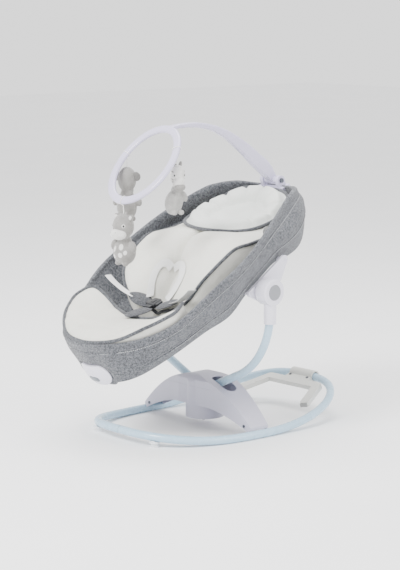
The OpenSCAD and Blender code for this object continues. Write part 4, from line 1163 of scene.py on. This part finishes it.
for i, (x, z, w, h, tilt) in enumerate(spots):
    name = f"giraffe_spot_{i + 1}"
    patch(name, "plush_white", toy, giraffe, (x, -10, z), (x / 30, -1, 0), (w, h), 0.9, tilt)

# elephant: facing away from the near side, with folded ears and a trunk
toy = toy_frame("a", (-0.55, 0.83))
elephant = soft_toy("elephant_body", "plush_grey", toy, [
    ((0, 0, -35), (25, 25, 34), (0, 0, 0)), ((0, -24, -52), (9, 11, 12), (-30, 0, 0)),
    ((0, -33, -66), (7.5, 8, 13), (-12, 0, 0)),
    ((0, 2, -76), (18, 18, 20), (0, 0, 0)), ((0, 3, -108), (27, 24, 36), (0, 0, 0)),
    ((-29, -2, -90), (10, 10, 17), (0, 24, 0)), ((29, -2, -90), (10, 10, 17), (0, -24, 0)),
    ((-12, -8, -140), (9, 10, 8), (0, 0, 0)), ((12, -8, -140), (9, 10, 8), (0, 0, 0)),
], node="toy_elephant")
soft_toy("elephant_ears", "plush_dark", toy, [
    ((-27, 3, -26), (11, 5, 13), (0, 22, 18)), ((27, 3, -26), (11, 5, 13), (0, -22, -18)),
], 0.0013, 4)
for side, word in SIDES:
    at, toward = (side * 13, -16, -34), (side * 0.5, -0.85, 0)
    patch(f"elephant_eye_{word}", "eye", toy, elephant, at, toward, (2.4, 2.8), 1.5)
tail = "elephant_tail_patch"
patch(tail, "plush_soft", toy, elephant, (0, 20, -118), (0, 1, 0), (3.4, 4.4), 1.6)

# zebra: pale head with grey bars and muzzle, ears up, arms tucked
toy = toy_frame("c", (0.96, -0.28))
soft_toy("zebra_body", "plush_soft", toy, [
    ((0, 4, -72), (14, 14, 18), (0, 0, 0)), ((-6, 6, -101), (24, 21, 33), (0, 12, 0)),
    ((-20, -4, -86), (8, 8, 15), (0, 20, 0)), ((19, -4, -86), (8, 8, 15), (0, -20, 0)),
    ((-10, -6, -127), (8, 9, 7), (0, 0, 0)), ((9, -6, -127), (8, 9, 7), (0, 0, 0)),
], node="toy_zebra")
head = soft_toy("zebra_head", "plush_white", toy, [
    ((0, -2, -30), (20, 20, 27), (14, 0, 0)), ((0, -12, -50), (16, 16, 18), (14, 0, 0)),
], 0.0014, 6)
soft_toy("zebra_muzzle", "plush_grey", toy, [((0, -19, -60), (15, 13, 11), (12, 0, 0))], 0.0013, 4)
soft_toy("zebra_ears", "plush_grey", toy, [
    ((-10, 2, -5), (5, 3.4, 11), (0, -16, 0)), ((10, 2, -5), (5, 3.4, 11), (0, 16, 0)),
    ((0, 8, -10), (3.4, 9, 9), (0, 0, 0)), ((0, 15, -26), (3.4, 8, 12), (0, 0, 0)),
], 0.0011, 3)
for side, word in SIDES:
    at, toward = (side * 11, -12, -30), (side * 0.6, -0.8, 0)
    patch(f"zebra_eye_{word}", "eye", toy, head, at, toward, (2.3, 2.7), 1.5)
    for i, (x, z, w, h) in enumerate(((14, -20, 5, 1.7), (16, -40, 5, 1.7), (13, -47, 4, 1.5))):
        name, at = f"zebra_bar_{word}_{i + 1}", (side * x, -8, z)
        patch(name, "plush_grey", toy, head, at, (side, -0.5, 0), (w, h), 0.6, side * 0.3)

# ---- floor and light

floor_look = Look("floor_paper", Roughness=0.9, Specular_IOR_Level=0.1)
floor_look.colour(floor_look.ramp(floor_look.noise(2, 2), [(0.2, "#f7f7f8"), (0.8, "#fbfbfb")]))
MAT["floor"] = floor_look.mat
far = 14.0
corners = [(-far, -far, 0), (far, -far, 0), (far, far, 0), (-far, far, 0)]
mesh_piece("floor", corners, [(0, 1, 2, 3)], "floor", None)

world = bpy.data.worlds.new("studio")
world.use_nodes = True
sky = world.node_tree.nodes["Background"].inputs
sky["Color"].default_value, sky["Strength"].default_value = (1.0, 1.0, 1.0, 1.0), 1.7
bpy.context.scene.world = world


def softbox(name, at, aim, wide, watts):
    lamp = bpy.data.lights.new(name, "AREA")
    lamp.shape, lamp.size, lamp.energy = "DISK", wide, watts
    o = linked(name, lamp)
    o.location = at
    o.rotation_euler = (Vector(aim) - Vector(at)).to_track_quat("-Z", "Y").to_euler()


softbox("key", (0.4, -3.2, 3.0), (0, 0, 0.4), 1.6, 230)
softbox("side", (3.4, 1.6, 2.2), (0, 0, 0.4), 2.2, 80)
softbox("top", (-0.6, 0.6, 3.6), (0, 0, 0.3), 2.6, 100)
